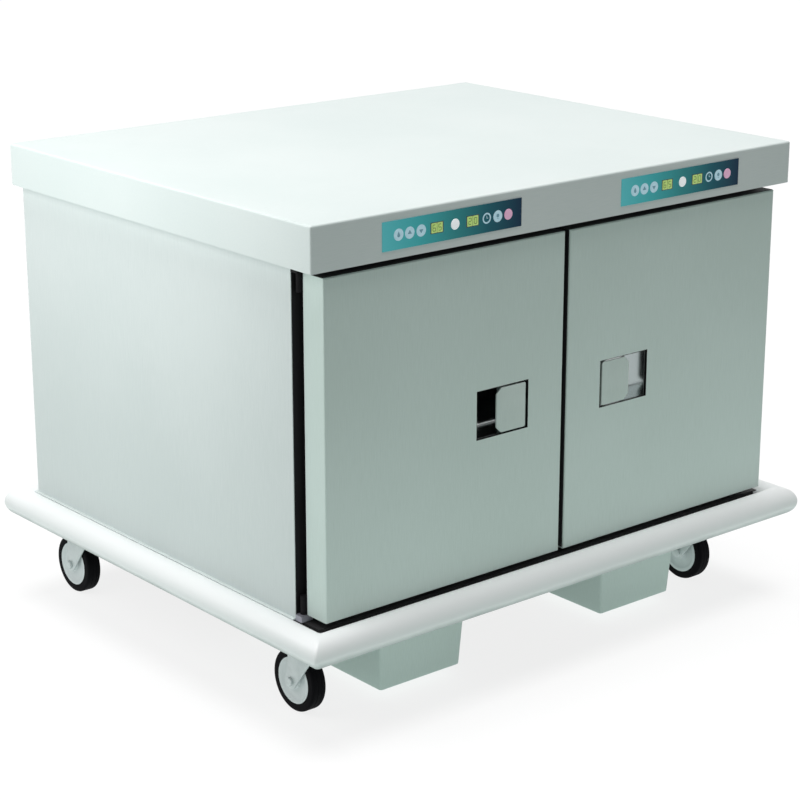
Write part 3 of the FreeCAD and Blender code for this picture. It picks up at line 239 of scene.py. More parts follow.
def gradedFinish(name, look):
    finish, tree, shader = newFinish(name)
    setGloss(shader, look)
    addGrain(tree, shader, look)
    place = spread(tree, placeOn(tree, look["axis"]), 0.0, 1.0, *look["marks"])
    if "metalPast" in look:  # bare metal beyond the second mark
        tree.links.new(place, shader.inputs["Metallic"])
    if "mottle" in look:
        scale, low, high = look["mottle"]
        place = combine(tree, place, "ADD", spread(tree, noiseOn(tree, scale), low, high))
    tree.links.new(ramp(tree, place, look["stops"]), shader.inputs["Base Color"])
    return finish


# The printed film runs from teal to navy across each keypad: x is folded to one keypad and read on a ramp
filmLook = {"width": 0.331, "glow": 0.35, "specular": 0.1, "grain": 2600, "detail": 2, "harsh": 0.5,
            "rough": (0.35, 0.5), "bump": 0.05, "depth": 0.0002,
            "stops": ((0.0, (0.09, 0.42, 0.45)), (0.25, (0.05, 0.33, 0.35)), (0.5, (0.03, 0.20, 0.21)),
                      (0.75, (0.012, 0.085, 0.11)), (1.0, (0.004, 0.020, 0.045)))}


def keypadFilm(look):
    finish, tree, shader = newFinish("keypad")
    setGloss(shader, look)
    addGrain(tree, shader, look)
    shifted = combine(tree, placeOn(tree, "X"), "SUBTRACT", bayMiddle - look["width"] / 2)
    folded = combine(tree, shifted, "FLOORED_MODULO", 2 * bayMiddle)
    tones = ramp(tree, spread(tree, folded, 0.0, 1.0, 0.0, look["width"]), look["stops"])
    tree.links.new(tones, shader.inputs["Base Color"])
    # Painted glow: the film shines brighter than the light falling on it
    lightUp(tree, shader, tones, look["glow"])
    return finish


# A lit cell glows evenly, a little less towards its mottled patches
cellLook = {"dim": (0.36, 0.52, 0.13), "bright": (0.44, 0.62, 0.17), "glow": 0.4, "mottle": 140,
            "grain": 1800, "rough": (0.25, 0.35)}


def litCell(look):
    finish, tree, shader = newFinish("display")
    tones = ramp(tree, noiseOn(tree, look["mottle"]), ((noiseLow, look["dim"]), (noiseHigh, look["bright"])))
    tree.links.new(tones, shader.inputs["Base Color"])
    lightUp(tree, shader, tones, look["glow"])
    tree.links.new(spread(tree, noiseOn(tree, look["grain"]), *look["rough"]), shader.inputs["Roughness"])
    return finish


# Wool: long fibres in two directions over mottled ochre
woolLook = {"dark": (0.42, 0.33, 0.14), "pale": (0.60, 0.50, 0.26), "mottle": 30, "across": 420,
            "upright": 380, "fibre": 0.08, "fibreRange": (0.7, 1.3), "rough": (0.8, 0.95), "sheen": 0.3,
            "bump": 0.6, "depth": 0.002}


def mineralWool(look):
    finish, tree, shader = newFinish("wool")
    mottle = noiseOn(tree, look["mottle"], detail=6)
    tones = ramp(tree, mottle, ((noiseLow, look["dark"]), (noiseHigh, look["pale"])))
    tree.links.new(tones, shader.inputs["Base Color"])
    across = noiseOn(tree, look["across"], (look["fibre"], 1, 1), detail=4)
    upright = noiseOn(tree, look["upright"], (1, 1, look["fibre"]), detail=4)
    fibres = combine(tree, across, "ADD", upright)
    rough = spread(tree, fibres, *look["rough"], *look["fibreRange"])
    tree.links.new(rough, shader.inputs["Roughness"])
    shader.inputs["Sheen Weight"].default_value = look["sheen"]
    bumpFrom(tree, shader, fibres, look["bump"], look["depth"])
    return finish


finishes |= {name: gradedFinish(name, look) for name, look in gradedLooks.items()}
finishes["keypad"] = keypadFilm(filmLook)
finishes["display"] = litCell(cellLook)
finishes["wool"] = mineralWool(woolLook)

slotOf = {part["node"]: part["material_slot"] for part in frame["record"]["subparts"]}
ownFinish = {}  # nodes that differ from the rest of their slot
for hand, side in hands:
    ownFinish[f"{hand}_handle_cup"] = "cup_steel"
    ownFinish[f"{hand}_door_skin"] = "door_steel"
    ownFinish[f"{hand}_hinge_knuckles"] = "hinge_black"
for nodeName, item in nodes.items():
    item.data.materials.clear()
    item.data.materials.append(finishes[ownFinish.get(nodeName, slotOf[nodeName])])
print("finishes:", len(finishes))


# Surfaces as grids of points

axisOrder = {"x": [1, 2, 0], "y": [0, 2, 1], "z": [0, 1, 2]}  # where u, v and the advance go
quarters = ((1, 1), (-1, 1), (-1, -1), (1, -1))


# Quads between neighbouring rows and columns of a grid; the columns close up, and the rows may
def gridFaces(rows, columns, closeRows=False):
    i, j = np.meshgrid(np.arange(rows if closeRows else rows - 1), np.arange(columns), indexing="ij")
    i, j = i.ravel(), j.ravel()
    below = (i + 1) % rows * columns
    beside = (j + 1) % columns
    return np.stack((i * columns + j, i * columns + beside, below + beside, below + j), axis=1)


# Flat outlines set out along an axis, each at its own advance
def setOut(axis, outlines, advances):
    outlines = np.asarray(outlines, float)
    along = np.broadcast_to(np.asarray(advances, float)[:, None, None], (*outlines.shape[:2], 1))
    points = np.empty((*outlines.shape[:2], 3))
    points[..., axisOrder[axis]] = np.concatenate((outlines, along), axis=2)
    return points


# A closed skin over a run of outlines: quads between them and a cap at each end
def stacked(points):
    rows, columns = points.shape[:2]
    caps = [np.arange(columns)[::-1], np.arange(columns) + (rows - 1) * columns]
    return points.reshape(-1, 3), gridFaces(rows, columns), caps


# A closed ring: outlines whose last joins the first
def looped(points):
    rows, columns = points.shape[:2]
    return points.reshape(-1, 3), gridFaces(rows, columns, True), []


# The outline round a set of circles: in each direction, the farthest point of the farthest circle.
# One outline for each inset, which is taken off every radius.
def hullOutlines(circles, insets=(0.0,), count=64):
    circles = np.asarray(circles, float)
    angle = (np.arange(count) + 0.5) * 2 * pi / count
    ways = np.stack((np.cos(angle), np.sin(angle)))
    farthest = np.argmax(circles[:, :2] @ ways + circles[:, 2:], axis=0)
    middle = circles[farthest, :2]
    radius = circles[farthest, 2][None, :] - np.asarray(insets, float)[:, None]
    return middle[None] + radius[..., None] * ways.T[None]


# Insets and advances of a soft edge: a quarter circle at each end of a plate's thickness
def softEdges(low, high, edge, steps=4):
    turn = np.linspace(0, pi / 2, steps)
    inset = edge * (1 - np.sin(turn))
    climb = edge * (1 - np.cos(turn))
    return np.concatenate((inset, inset[::-1])), np.concatenate((low + climb, (high - climb)[::-1]))


# A plate with the outline of a set of circles and soft edges at both faces
def hullPlate(axis, circles, low, high, edge, count=64):
    insets, advances = softEdges(low, high, edge)
    return stacked(setOut(axis, hullOutlines(circles, insets, count), advances))


# The four corner circles of a rounded rectangle
def corners(u, v, width, height, radius):
    across, up = width / 2 - radius, height / 2 - radius
    return [(u + across * i, v + up * j, radius) for i, j in quarters]


# Six small circles at the corners of a hexagon
def hexagon(u, v, reach, radius, turn=0.0):
    angle = np.arange(6) * pi / 3 + turn
    return np.stack((u + reach * np.cos(angle), v + reach * np.sin(angle), np.full(6, radius)), axis=1)


# A block between two corners with rounded uprights and soft ends
def softBlock(axis, low, high, radius, edge):
    u, v, along = axisOrder[axis]
    circles = corners((low[u] + high[u]) / 2, (low[v] + high[v]) / 2, high[u] - low[u], high[v] - low[v],
                      radius)
    return hullPlate(axis, circles, low[along], high[along], edge, 32)


# A profile of radii and advances turned about an axis, with a cap at each end or joined into a ring
def turned(axis, u, v, radii, advances, ring=False, count=64):
    angle = np.arange(count) * 2 * pi / count
    circle = np.stack((np.cos(angle), np.sin(angle)), axis=1)
    points = setOut(axis, np.asarray(radii, float)[:, None, None] * circle + (u, v), advances)
    return looped(points) if ring else stacked(points)


# A profile (outwards, along) carried round a rounded rectangle: moving outwards adds to its corner radius
def framed(axis, u, v, width, height, radius, outwards, advances, count):
    circles = corners(u, v, width, height, radius)
    return looped(setOut(axis, hullOutlines(circles, -np.asarray(outwards), count), advances))


# Rectangles whose corners all keep one radius: the inset corner plus a quarter circle
def evenOutlines(halfWidths, halfHeights, radius, count=48):
    angle = (np.arange(count) + 0.5) * 2 * pi / count
    ways = np.stack((np.cos(angle), np.sin(angle)), axis=1)
    reach = np.stack((halfWidths, halfHeights), axis=1)[:, None, :] - radius
    return np.sign(ways) * reach + radius * ways


def addPiece(name, shells, finish, body, stands=(), crease=35):
    starts = np.cumsum([0] + [len(points) for points, _, _ in shells])
    faces = []
    for start, (_, quads, caps) in zip(starts, shells):
        faces += (quads + start).tolist() + [(cap + start).tolist() for cap in caps]
    mesh = bpy.data.meshes.new(name)
    mesh.from_pydata(np.concatenate([points for points, _, _ in shells]).tolist(), [], faces)
    work = bmesh.new()
    work.from_mesh(mesh)
    bmesh.ops.recalc_face_normals(work, faces=work.faces)
    work.to_mesh(mesh)
    work.free()
    mesh.polygons.foreach_set("use_smooth", np.ones(len(mesh.polygons), bool))
    mesh.set_sharp_from_angle(angle=radians(crease))
    mesh.materials.append(finishes[finish])
    piece = bpy.data.objects.new(name, mesh)
    bpy.context.scene.collection.objects.link(piece)
    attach(piece, body)
    if stands:
        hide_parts(*stands)


# Bumper: a circle carried round the cabinet on rectangles, so that its corners are mitred and only eased
bumper = {"halfWidth": 0.623, "halfDepth": 0.515, "height": 0.204, "radius": 0.030, "ease": 0.006,
          "around": 56}


def makeBumper(look):
    angle = np.arange(look["around"]) * 2 * pi / look["around"]
    out = look["radius"] * np.cos(angle)
    outlines = evenOutlines(look["halfWidth"] + out, look["halfDepth"] + out, look["ease"])
    tube = looped(setOut("z", outlines, look["height"] + look["radius"] * np.sin(angle)))
    addPiece("bumper_tube", [tube], "bumper", "cabinet", ("bumper_ring",))


# Foot bead: soft strips that close the slit between the panels' lower edges and the tube
bead = {"thick": 0.0061, "low": 0.2273, "high": 0.2300, "corner": 0.001, "edge": 0.0005}


def makeBead(look):
    low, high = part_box("left_side_panel")
    back = high.y + look["thick"]
    spans = [("x", (low.x, -low.x), high.y)]
    for hand, side in hands:
        spans.append(("y", sorted((side * (low.x - look["thick"]), side * low.x)), low.y))
    shells = [softBlock(axis, (x[0], front, look["low"]), (x[1], back, look["high"]), look["corner"],
                        look["edge"]) for axis, x, front in spans]
    addPiece("foot_bead", shells, "steel", "cabinet")


makeBumper(bumper)
makeBead(bead)
print("bumper done")


# Castors: a tyre with round shoulders and two shallow grooves, a dished hub, and a fork of pressed plate
wheel = {"radius": 0.0625, "rim": 0.046, "half": 0.016, "shoulder": 0.005, "tread": 0.8, "groove": 0.0008,
         "grooveAt": 0.0045, "grooveWidth": 0.0007, "bore": 0.00505, "boss": 0.015, "bossHalf": 0.0182,
         "chamfer": 0.001, "dish": 0.003, "dishEnd": 0.034, "lipStart": 0.038, "lipDrop": 0.0008,
         "lipEnd": 0.0405, "around": 72}
fork = {"legInner": 0.0185, "legOuter": 0.0225, "legEdge": 0.0012, "boss": 0.015, "front": 0.030,
        "back": 0.046, "crownLow": 0.131, "crownTop": 0.136, "corner": 0.004, "crownEdge": 0.001,
        "axle": 0.005, "headReach": 0.0078, "headCorner": 0.0012, "headEdge": 0.0008, "headHeight": 0.005,
        "headTurn": 0.3, "pinBore": 0.00805, "collar": 0.029, "collarFlare": 0.003, "collarSink": 0.0002,
        "collarTop": 0.1457, "chamfer": 0.001}


# Tyre profile: rim, quarter-circle shoulder, tread less two bell-shaped dips, shoulder, rim.
# Hub profile: bore, boss, dished web and rim, the same on both sides.
def wheelShells(axle, look):
    x, y, z = axle
    half, shoulder, top, rim = look["half"], look["shoulder"], look["radius"], look["rim"]
    turn = np.linspace(0, pi / 2, 7)
    across = np.linspace(-1, 1, 41) * look["tread"] * (half - shoulder)
    dips = look["groove"] * np.exp(-((np.abs(across) - look["grooveAt"]) / look["grooveWidth"]) ** 2)
    climb = top - shoulder + shoulder * np.sin(turn)
    reach = half - shoulder * (1 - np.cos(turn))
    radii = np.concatenate(([rim], climb, top - dips, climb[::-1], [rim]))
    steps = np.concatenate(([-half], -reach, across, reach[::-1], [half]))
    tyre = turned("x", y, z, radii, x + steps, True, look["around"])
    boss, bossHalf, chamfer, web = look["boss"], look["bossHalf"], look["chamfer"], half - look["dish"]
    face = np.array(((look["bore"], bossHalf), (boss - chamfer, bossHalf), (boss, bossHalf - chamfer),
                     (boss + chamfer, web), (look["dishEnd"], web),
                     (look["lipStart"], half - look["lipDrop"]), (look["lipEnd"], half), (rim, half)))
    profile = np.concatenate((face * (1, -1), face[::-1]))
    hub = turned("x", y, z, profile[:, 0], x + profile[:, 1], True, look["around"])
    return tyre, hub


# Each leg is the outline round its axle boss and two crown corners, with a hexagon head on it.
# The collar is a short turned sleeve that flares onto the crown.
def forkShells(king, axle, look):
    x, y, _ = king
    _, axleY, axleZ = axle
    corner, top, outer = look["corner"], look["crownTop"], look["legOuter"]
    leg = ((axleY, axleZ, look["boss"]), (y - look["front"] + corner, top - corner, corner),
           (y + look["back"] - corner, top - corner, corner))
    head = hexagon(axleY, axleZ, look["headReach"], look["headCorner"], look["headTurn"])
    shells = []
    for hand, side in hands:
        inside, outside = x + side * look["legInner"], x + side * outer
        proud = outside + side * look["headHeight"]
        shells.append(hullPlate("x", leg, *sorted((inside, outside)), look["legEdge"], 96))
        shells.append(hullPlate("x", head, *sorted((outside, proud)), look["headEdge"], 72))
    shells.append(softBlock("z", (x - outer, y - look["front"], look["crownLow"]),
                            (x + outer, y + look["back"], top), corner, look["crownEdge"]))
    shells.append(turned("x", axleY, axleZ, (look["axle"], look["axle"]), (x - outer, x + outer)))
    bore, collar, flare, chamfer = look["pinBore"], look["collar"], look["collarFlare"], look["chamfer"]
    seat, end = top - look["collarSink"], look["collarTop"]
    shells.append(turned("z", x, y, (bore, collar + flare, collar, collar, collar - chamfer, bore),
                         (seat, seat, top + flare, end - chamfer, end, end), True))
    return shells


for tag in castors:
    king, axle = pivots[f"{tag}_swivel"], pivots[f"{tag}_roll"]
    tyre, hub = wheelShells(axle, wheel)
    addPiece(f"{tag}_tread", [tyre], "tyre", f"{tag}_wheel", (f"{tag}_tyre",))
    addPiece(f"{tag}_hub", [hub], "hub", f"{tag}_wheel", (f"{tag}_wheel_hub",))
    addPiece(f"{tag}_fork_plates", forkShells(king, axle, fork), "zinc", f"{tag}_fork",
             (f"{tag}_castor_fork",))
print("castors done")


# Fixings: hexagon heads under the castor plates and domed screws down the back
fixing = {"boltX": 0.040, "boltY": 0.030, "headReach": 0.0055, "headCorner": 0.0009, "headEdge": 0.0006,
          "headLow": 0.150, "headTop": 0.155, "shank": 0.004, "shankTop": 0.166, "screwX": 0.578,
          "screwY": 0.490, "screwRadius": 0.004, "screwHead": 0.0025, "screwInset": 0.020, "screwRows": 4,
          "domeTip": 0.05}


# A screw's dome is a quarter ellipse turned about y, stopped just short of its pole
def makeFixings(look):
    shells = []
    for tag in castors:
        x, y, _ = pivots[f"{tag}_swivel"]
        for i, j in quarters:
            place = (x + i * look["boltX"], y + j * look["boltY"])
            head = hexagon(*place, look["headReach"], look["headCorner"])
            shells.append(hullPlate("z", head, look["headLow"], look["headTop"], look["headEdge"], 48))
            shells.append(turned("z", *place, (look["shank"], look["shank"]),
                                 (look["headTop"], look["shankTop"]), count=24))
    low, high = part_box("rear_panel")
    dome = np.linspace(pi / 2, look["domeTip"], 8)
    radii = look["screwRadius"] * np.sin(dome)
    advances = look["screwY"] + look["screwHead"] * np.cos(dome)
    for hand, side in hands:
        for z in np.linspace(low.z + look["screwInset"], high.z - look["screwInset"], look["screwRows"]):
            shells.append(turned("y", look["screwX"] * side, z, radii, advances, count=32))
    addPiece("bolts_and_screws", shells, "zinc", "cabinet", ("fasteners",))


# Heater boxes: a sheet tub with rounded uprights, its outline growing evenly from its foot to the floor pan
tub = {"wall": 0.0015, "corner": 0.006, "bottomEdge": 0.003, "sideStart": 0.02, "width": 0.201,
       "depth": 0.430, "front": -0.413}


def makeTubs(look):
    low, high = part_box("heater_boxes")
    wall, edge, corner = look["wall"], look["bottomEdge"], look["corner"]
    flareX = high.x - bayMiddle - look["width"] / 2
    flareY = look["front"] - low.y
    turn = np.linspace(0, pi / 2, 6)
    sides = np.linspace(look["sideStart"], high.z - low.z, 6)
    heights = np.concatenate((edge * (1 - np.cos(turn)), sides))
    share = heights / heights[-1]
    draw = np.concatenate((edge * (1 - np.sin(turn)), np.zeros_like(sides)))
    wide = look["width"] / 2 + flareX * share - draw
    deep = look["depth"] / 2 + flareY * share - draw
    inside = np.maximum(heights, wall)[::-1]
    shells = []
    for hand, side in hands:
        middle = (bayMiddle * side, look["front"] + look["depth"] / 2)
        outer = evenOutlines(wide, deep, corner) + middle
        inner = evenOutlines(wide[::-1] - wall, deep[::-1] - wall, corner - wall) + middle
        shells.append(stacked(np.concatenate((setOut("z", outer, low.z + heights),
                                              setOut("z", inner, low.z + inside)))))
    addPiece("heater_tubs", shells, "door_steel", "cabinet", ("heater_boxes",))


makeFixings(fixing)
makeTubs(tub)
print("fixings and heater boxes done")


# Keypads: domed buttons, two-cell displays, and round printed key signs on the film
keypad = {"height": 0.9375, "film": -0.501, "main": 0.0035, "power": 0.1325, "buttonRadius": 0.010,
          "buttonFront": -0.5026, "buttonBack": -0.4946, "buttonEdge": 0.0012, "buttonDome": 0.0006,
          "buttonFace": (0.02, 0.92),
          "print": 0.00015, "printEdge": 0.00002, "signLift": 1.6, "keyRadius": 0.0110, "ringInner": 0.0072,
          "ringOuter": 0.01012, "displays": ((-0.0395, "65"), (0.0455, "20")), "screenWidth": 0.031,
          "screenHeight": 0.021, "screenCorner": 0.0015, "screenEdge": 0.0004, "screenBack": -0.4885,
          "cellPlace": 0.0068, "cellWidth": 0.0128, "cellHeight": 0.0182, "cellCorner": 0.0012,
          "barAcross": 0.0030, "barUp": 0.0056, "barRadius": 0.00055, "barGap": 0.0007}
# Each key's place and its sign, as strokes round circles: a warm drop, arrows up and down, a clock and a lamp
keys = (
    {"place": -0.1285, "strokes": (((0, -0.0015, 0.0032), (0, 0.0052, 0.0004)),)},
    {"place": -0.103,
     "strokes": (((-0.0042, -0.0018, 0.0004), (0.0042, -0.0018, 0.0004), (0, 0.0044, 0.0004)),)},
    {"place": -0.0765,
     "strokes": (((-0.0042, 0.0018, 0.0004), (0.0042, 0.0018, 0.0004), (0, -0.0044, 0.0004)),)},
    {"place": 0.0795, "ring": True,
     "strokes": (((0, 0, 0.0006), (0, 0.0044, 0.0006)), ((0.0013, 0, 0.0006), (0.0032, 0, 0.0006)))},
    {"place": 0.1065,
     "strokes": (((0, 0.0012, 0.0034),), ((-0.0012, -0.0044, 0.0005), (0.0012, -0.0044, 0.0005)))},
)
# The ends of a figure's seven bars, clockwise from the top and then the middle, and the bars that are lit
barEnds = ((-1, 1, 1, 1), (1, 1, 1, 0), (1, 0, 1, -1), (-1, -1, 1, -1), (-1, 0, -1, -1), (-1, 1, -1, 0),
           (-1, 0, 1, 0))
figures = {"6": (1, 0, 1, 1, 1, 1, 1), "5": (1, 0, 1, 1, 0, 1, 1), "2": (1, 1, 0, 1, 1, 0, 1),
           "0": (1, 1, 1, 1, 1, 1, 0)}


# A button's face is a shallow bowl of x squared, then a quarter circle, then a straight side
def makeButton(name, x, finish, body, stands, look):
    radius, edge = look["buttonRadius"], look["buttonEdge"]
    front, dome = look["buttonFront"], look["buttonDome"]
    turn = np.linspace(0, pi / 2, 6)
    face = np.linspace(*look["buttonFace"], 8)
    radii = np.concatenate((face * (radius - edge), radius - edge + edge * np.sin(turn), [radius]))
    advances = np.concatenate((front + dome * face ** 2, front + dome + edge * (1 - np.cos(turn)),
                               [look["buttonBack"]]))
    addPiece(name, [turned("y", x, look["height"], radii, advances)], finish, body, stands)


# A thin printed shape, given as circles about a middle
def printed(circles, x, z, lift, look):
    moved = [(x + u, z + v, radius) for u, v, radius in circles]
    return hullPlate("y", moved, look["film"] - look["print"] * lift, look["film"], look["printEdge"], 48)


# A printed ring: a flat strip turned about a key's middle
def printedRing(x, z, look):
    inner, outer, back = look["ringInner"], look["ringOuter"], look["film"]
    front = back - look["print"]
    return turned("y", x, z, (inner, outer, outer, inner), (front, front, back, back), True, 48)


# The lit bars of a figure: a circle at each end, drawn in a little from the corner
def figureBars(figure, x, z, look):
    wide, tall, radius, gap = look["barAcross"], look["barUp"], look["barRadius"], look["barGap"]
    bars = []
    for lit, (u0, v0, u1, v1) in zip(figures[figure], barEnds):
        if lit:
            du, dv = np.sign(u1 - u0) * gap, np.sign(v1 - v0) * gap
            ends = ((u0 * wide + du, v0 * tall + dv, radius), (u1 * wide - du, v1 * tall - dv, radius))
            bars.append(printed(ends, x, z, look["signLift"], look))
    return bars


def makeKeypads(look):
    discs, marks, bezels, cells, bars = [], [], [], [], []
    z = look["height"]
    screen = (look["screenWidth"], look["screenHeight"], look["screenCorner"])
    cell = corners(0, 0, look["cellWidth"], look["cellHeight"], look["cellCorner"])
    for hand, side in hands:
        middle = bayMiddle * side
        for kind in ("main", "power"):
            makeButton(f"{hand}_{kind}_dome", middle + look[kind], f"{kind}_button", f"{hand}_{kind}_key",
                       (f"{hand}_{kind}_button",), look)
        for key in keys:
            x = middle + key["place"]
            if "ring" in key:
                discs.append(printedRing(x, z, look))
                discs += [printed(stroke, x, z, 1, look) for stroke in key["strokes"]]
            else:
                discs.append(printed(((0, 0, look["keyRadius"]),), x, z, 1, look))
                marks += [printed(stroke, x, z, look["signLift"], look) for stroke in key["strokes"]]
        for place, shown in look["displays"]:
            x = middle + place
            bezels.append(hullPlate("y", corners(x, z, *screen), look["film"], look["screenBack"],
                                    look["screenEdge"]))
            for way, figure in zip((-1, 1), shown):
                cellX = x + way * look["cellPlace"]
                cells.append(printed(cell, cellX, z, 1, look))
                bars += figureBars(figure, cellX, z, look)
    addPiece("key_discs", discs, "symbol", "cabinet")
    addPiece("key_signs", marks, "glyph", "cabinet")
    addPiece("display_bezels", bezels, "bezel", "cabinet", ("display_modules",))
    addPiece("display_cells", cells, "display", "cabinet")
    addPiece("display_figures", bars, "digit", "cabinet")


makeKeypads(keypad)
print("keypads done")


# Handles: a pull plate with nipped corners at its free edge, on a barrel that turns about the cup's pin,
# with a web between the two, a lever to the push bar and a black pad behind the plate as painted shade in the
# pocket
paddle = {"near": 0.102, "far": 0.176, "low": 0.5157, "high": 0.6043, "front": -0.491, "thick": 0.004,
          "nip": 0.0096, "corner": 0.004, "edge": 0.0012, "barrel": 0.006, "bore": 0.00305, "ease": 0.0008,
          "webInset": 0.001, "webClear": 0.0002, "webCorner": 0.0015, "pad": 0.001, "padInset": 0.001,
          "padEdge": 0.0004, "leverNear": 0.0985, "leverHalf": 0.0025, "leverLow": 0.553, "leverHigh": 0.567,
          "leverClear": 0.0005, "leverCorner": 0.001, "blockEdge": 0.0005}


def makePaddle(hand, side, look):
    r, nip, edge = look["corner"], look["nip"], look["blockEdge"]
    far, low, high = look["far"] - r, look["low"] + r, look["high"] - r
    x, y, _ = pivots[f"{hand}_paddle_pivot"]
    barrel, bore, ease = look["barrel"], look["bore"], look["ease"]
    foot, head, front = look["low"], look["high"], look["front"]
    back = front + look["thick"]

    # Circles round the plate, from its fixed edge at start to the nipped corners and back
    def outline(start, radius):
        free = ((far - nip, low), (far, low + nip), (far, high - nip), (far - nip, high))
        return [(start, low, radius), *((side * u, v, radius) for u, v in free), (start, high, radius)]

    plate = hullPlate("y", outline(side * (look["near"] + r), r), front, back, look["edge"], 96)
    tube = turned("z", x, y, (bore, barrel - ease, barrel, barrel, barrel - ease, bore),
                  (foot, foot, foot + ease, head - ease, head, head), True)
    web = softBlock("z", (x - barrel, front + look["thick"] / 2, foot + look["webInset"]),
                    (x + barrel, y - bore - look["webClear"], head - look["webInset"]),
                    look["webCorner"], edge)
    reach = sorted((side * look["leverNear"], x - side * (bore + look["leverClear"])))
    lever = softBlock("z", (reach[0], y - look["leverHalf"], look["leverLow"]),
                      (reach[1], y + look["leverHalf"], look["leverHigh"]), look["leverCorner"], edge)
    addPiece(f"{hand}_pull_plate", [plate, tube, web, lever], "handle_steel", f"{hand}_paddle",
             (f"{hand}_handle_paddle",))
    # The black pad darkens the pocket behind the plate: painted shade
    pad = hullPlate("y", outline(x + side * barrel, r - look["padInset"]), back, back + look["pad"],
                    look["padEdge"], 96)
    addPiece(f"{hand}_shade_pad", [pad], "black_plastic", f"{hand}_paddle")


for hand, side in hands:
    makePaddle(hand, side, paddle)
print("handles done")


# Gaskets: a bellows section carried round each door's mouth; its half width dips twice along its depth
# and narrows to its ends
seal = {"width": 0.010, "corner": 0.006, "dip": 0.0014, "endShare": 0.7, "endPower": 8}


def makeGasket(hand, look):
    low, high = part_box(f"{hand}_door_gasket")
    width, endShare = look["width"], look["endShare"]
    along = np.linspace(0, 1, 25)
    ends = np.sqrt(np.clip(1 - (2 * np.abs(along - 0.5)) ** look["endPower"], 0, 1))
    half = width / 2 - look["dip"] * (0.5 - 0.5 * np.cos(4 * pi * along))
    half *= endShare + (1 - endShare) * ends
    depth = low.y + (high.y - low.y) * along
    outwards = np.concatenate((half, -half[::-1]))
    advances = np.concatenate((depth, depth[::-1]))
    ring = framed("y", (low.x + high.x) / 2, (low.z + high.z) / 2, high.x - low.x - width,
                  high.z - low.z - width, look["corner"], outwards, advances, 64)
    addPiece(f"{hand}_bellows_seal", [ring], "gasket", f"{hand}_door", (f"{hand}_door_gasket",))


# Shade strips: soft-edged black strips down each door's edge at the middle gap and along its top, painted shade
# for gaps that lie in shadow
edging = {"thick": 0.0008, "inset": 0.0035, "hingeRoom": 0.008, "corner": 0.0005, "edge": 0.0003}


def makeShadeStrips(hand, side, look):
    low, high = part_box(f"{hand}_door_skin")
    inner = min(abs(low.x), abs(high.x))
    x = sorted((side * inner, side * (inner - look["thick"])))
    front = low.y + look["inset"]
    meeting = softBlock("x", (x[0], front, low.z + look["inset"]), (x[1], high.y, high.z), look["corner"],
                        look["edge"])
    top = softBlock("z", (low.x, front, high.z), (high.x, high.y - look["hingeRoom"], high.z + look["thick"]),
                    look["corner"], look["edge"])
    addPiece(f"{hand}_shade_strips", [meeting, top], "gasket", f"{hand}_door")


# Wool: cut slabs with soft edges between the skins and the chambers, left open for the fan shafts, the
# elements' legs and the push bars
wool = {"gap": 0.0004, "corner": 0.004, "edge": 0.003, "split": 0.0002, "shaftHole": 0.022, "legHole": 0.009,
        "legX": 0.018, "legY": 0.106, "barRoom": 0.001}


def woolSlab(axis, low, high, look):
    gap = look["gap"]
    return softBlock(axis, [v + gap for v in low], [v - gap for v in high], look["corner"], look["edge"])


# Each floor slab is a ring: its outer outline, and inside it the outline round a shaft and two legs
def makeWool(look):
    low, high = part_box("body_insulation")
    linerLow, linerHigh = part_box("left_chamber_liner")
    floorTop, roofLow, back = linerLow.z, linerHigh.z, linerHigh.y
    far, near, gap = -linerLow.x, -linerHigh.x, look["gap"]
    shells = [
        woolSlab("z", (low.x, low.y, roofLow), (high.x, high.y, high.z), look),
        woolSlab("y", (-far, back, floorTop), (far, high.y, roofLow), look),
        woolSlab("x", (-near, low.y, floorTop), (near, back, roofLow), look),
    ]
    insets, advances = softEdges(low.z + gap, floorTop - gap, look["edge"])
    for hand, side in hands:
        span = sorted((side * far, side * high.x))
        shells.append(woolSlab("x", (span[0], low.y, floorTop), (span[1], high.y, roofLow), look))
        start, end = sorted((side * look["split"], side * high.x))
        outer = corners((start + end) / 2, (low.y + high.y) / 2, end - start - 2 * gap,
                        high.y - low.y - 2 * gap, look["corner"])
        fanX, fanY, _ = pivots[f"{hand}_fan_spin"]
        hole = [(fanX, fanY, look["shaftHole"])]
        hole += [(fanX + way * look["legX"], fanY + look["legY"], look["legHole"]) for way in (-1, 1)]
        shells.append(looped(np.concatenate((setOut("z", hullOutlines(outer, insets), advances),
                                             setOut("z", hullOutlines(hole, -insets), advances)[::-1]))))
    addPiece("body_wool", shells, "wool", "cabinet", ("body_insulation",))


def makeDoorWool(hand, side, look):
    low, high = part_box(f"{hand}_door_core")
    cupLow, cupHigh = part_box(f"{hand}_handle_cup")
    barLow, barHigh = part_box(f"{hand}_push_bar")
    near, far = sorted((abs(low.x), abs(high.x)))
    cupNear, cupFar = sorted((abs(cupLow.x), abs(cupHigh.x)))
    room = look["barRoom"]
    spans = ((near, far, cupHigh.z, high.z), (near, far, low.z, cupLow.z), (cupFar, far, cupLow.z, cupHigh.z),
             (near, cupNear, barHigh.z + room, cupHigh.z), (near, cupNear, cupLow.z, barLow.z - room))
    shells = []
    for start, end, bottom, top in spans:
        x = sorted((side * start, side * end))
        shells.append(woolSlab("y", (x[0], low.y, bottom), (x[1], high.y, top), look))
    addPiece(f"{hand}_door_wool", shells, "wool", f"{hand}_door", (f"{hand}_door_core",))


makeWool(wool)
for hand, side in hands:
    makeGasket(hand, seal)
    makeShadeStrips(hand, side, edging)
    makeDoorWool(hand, side, wool)
print("seals and wool done")


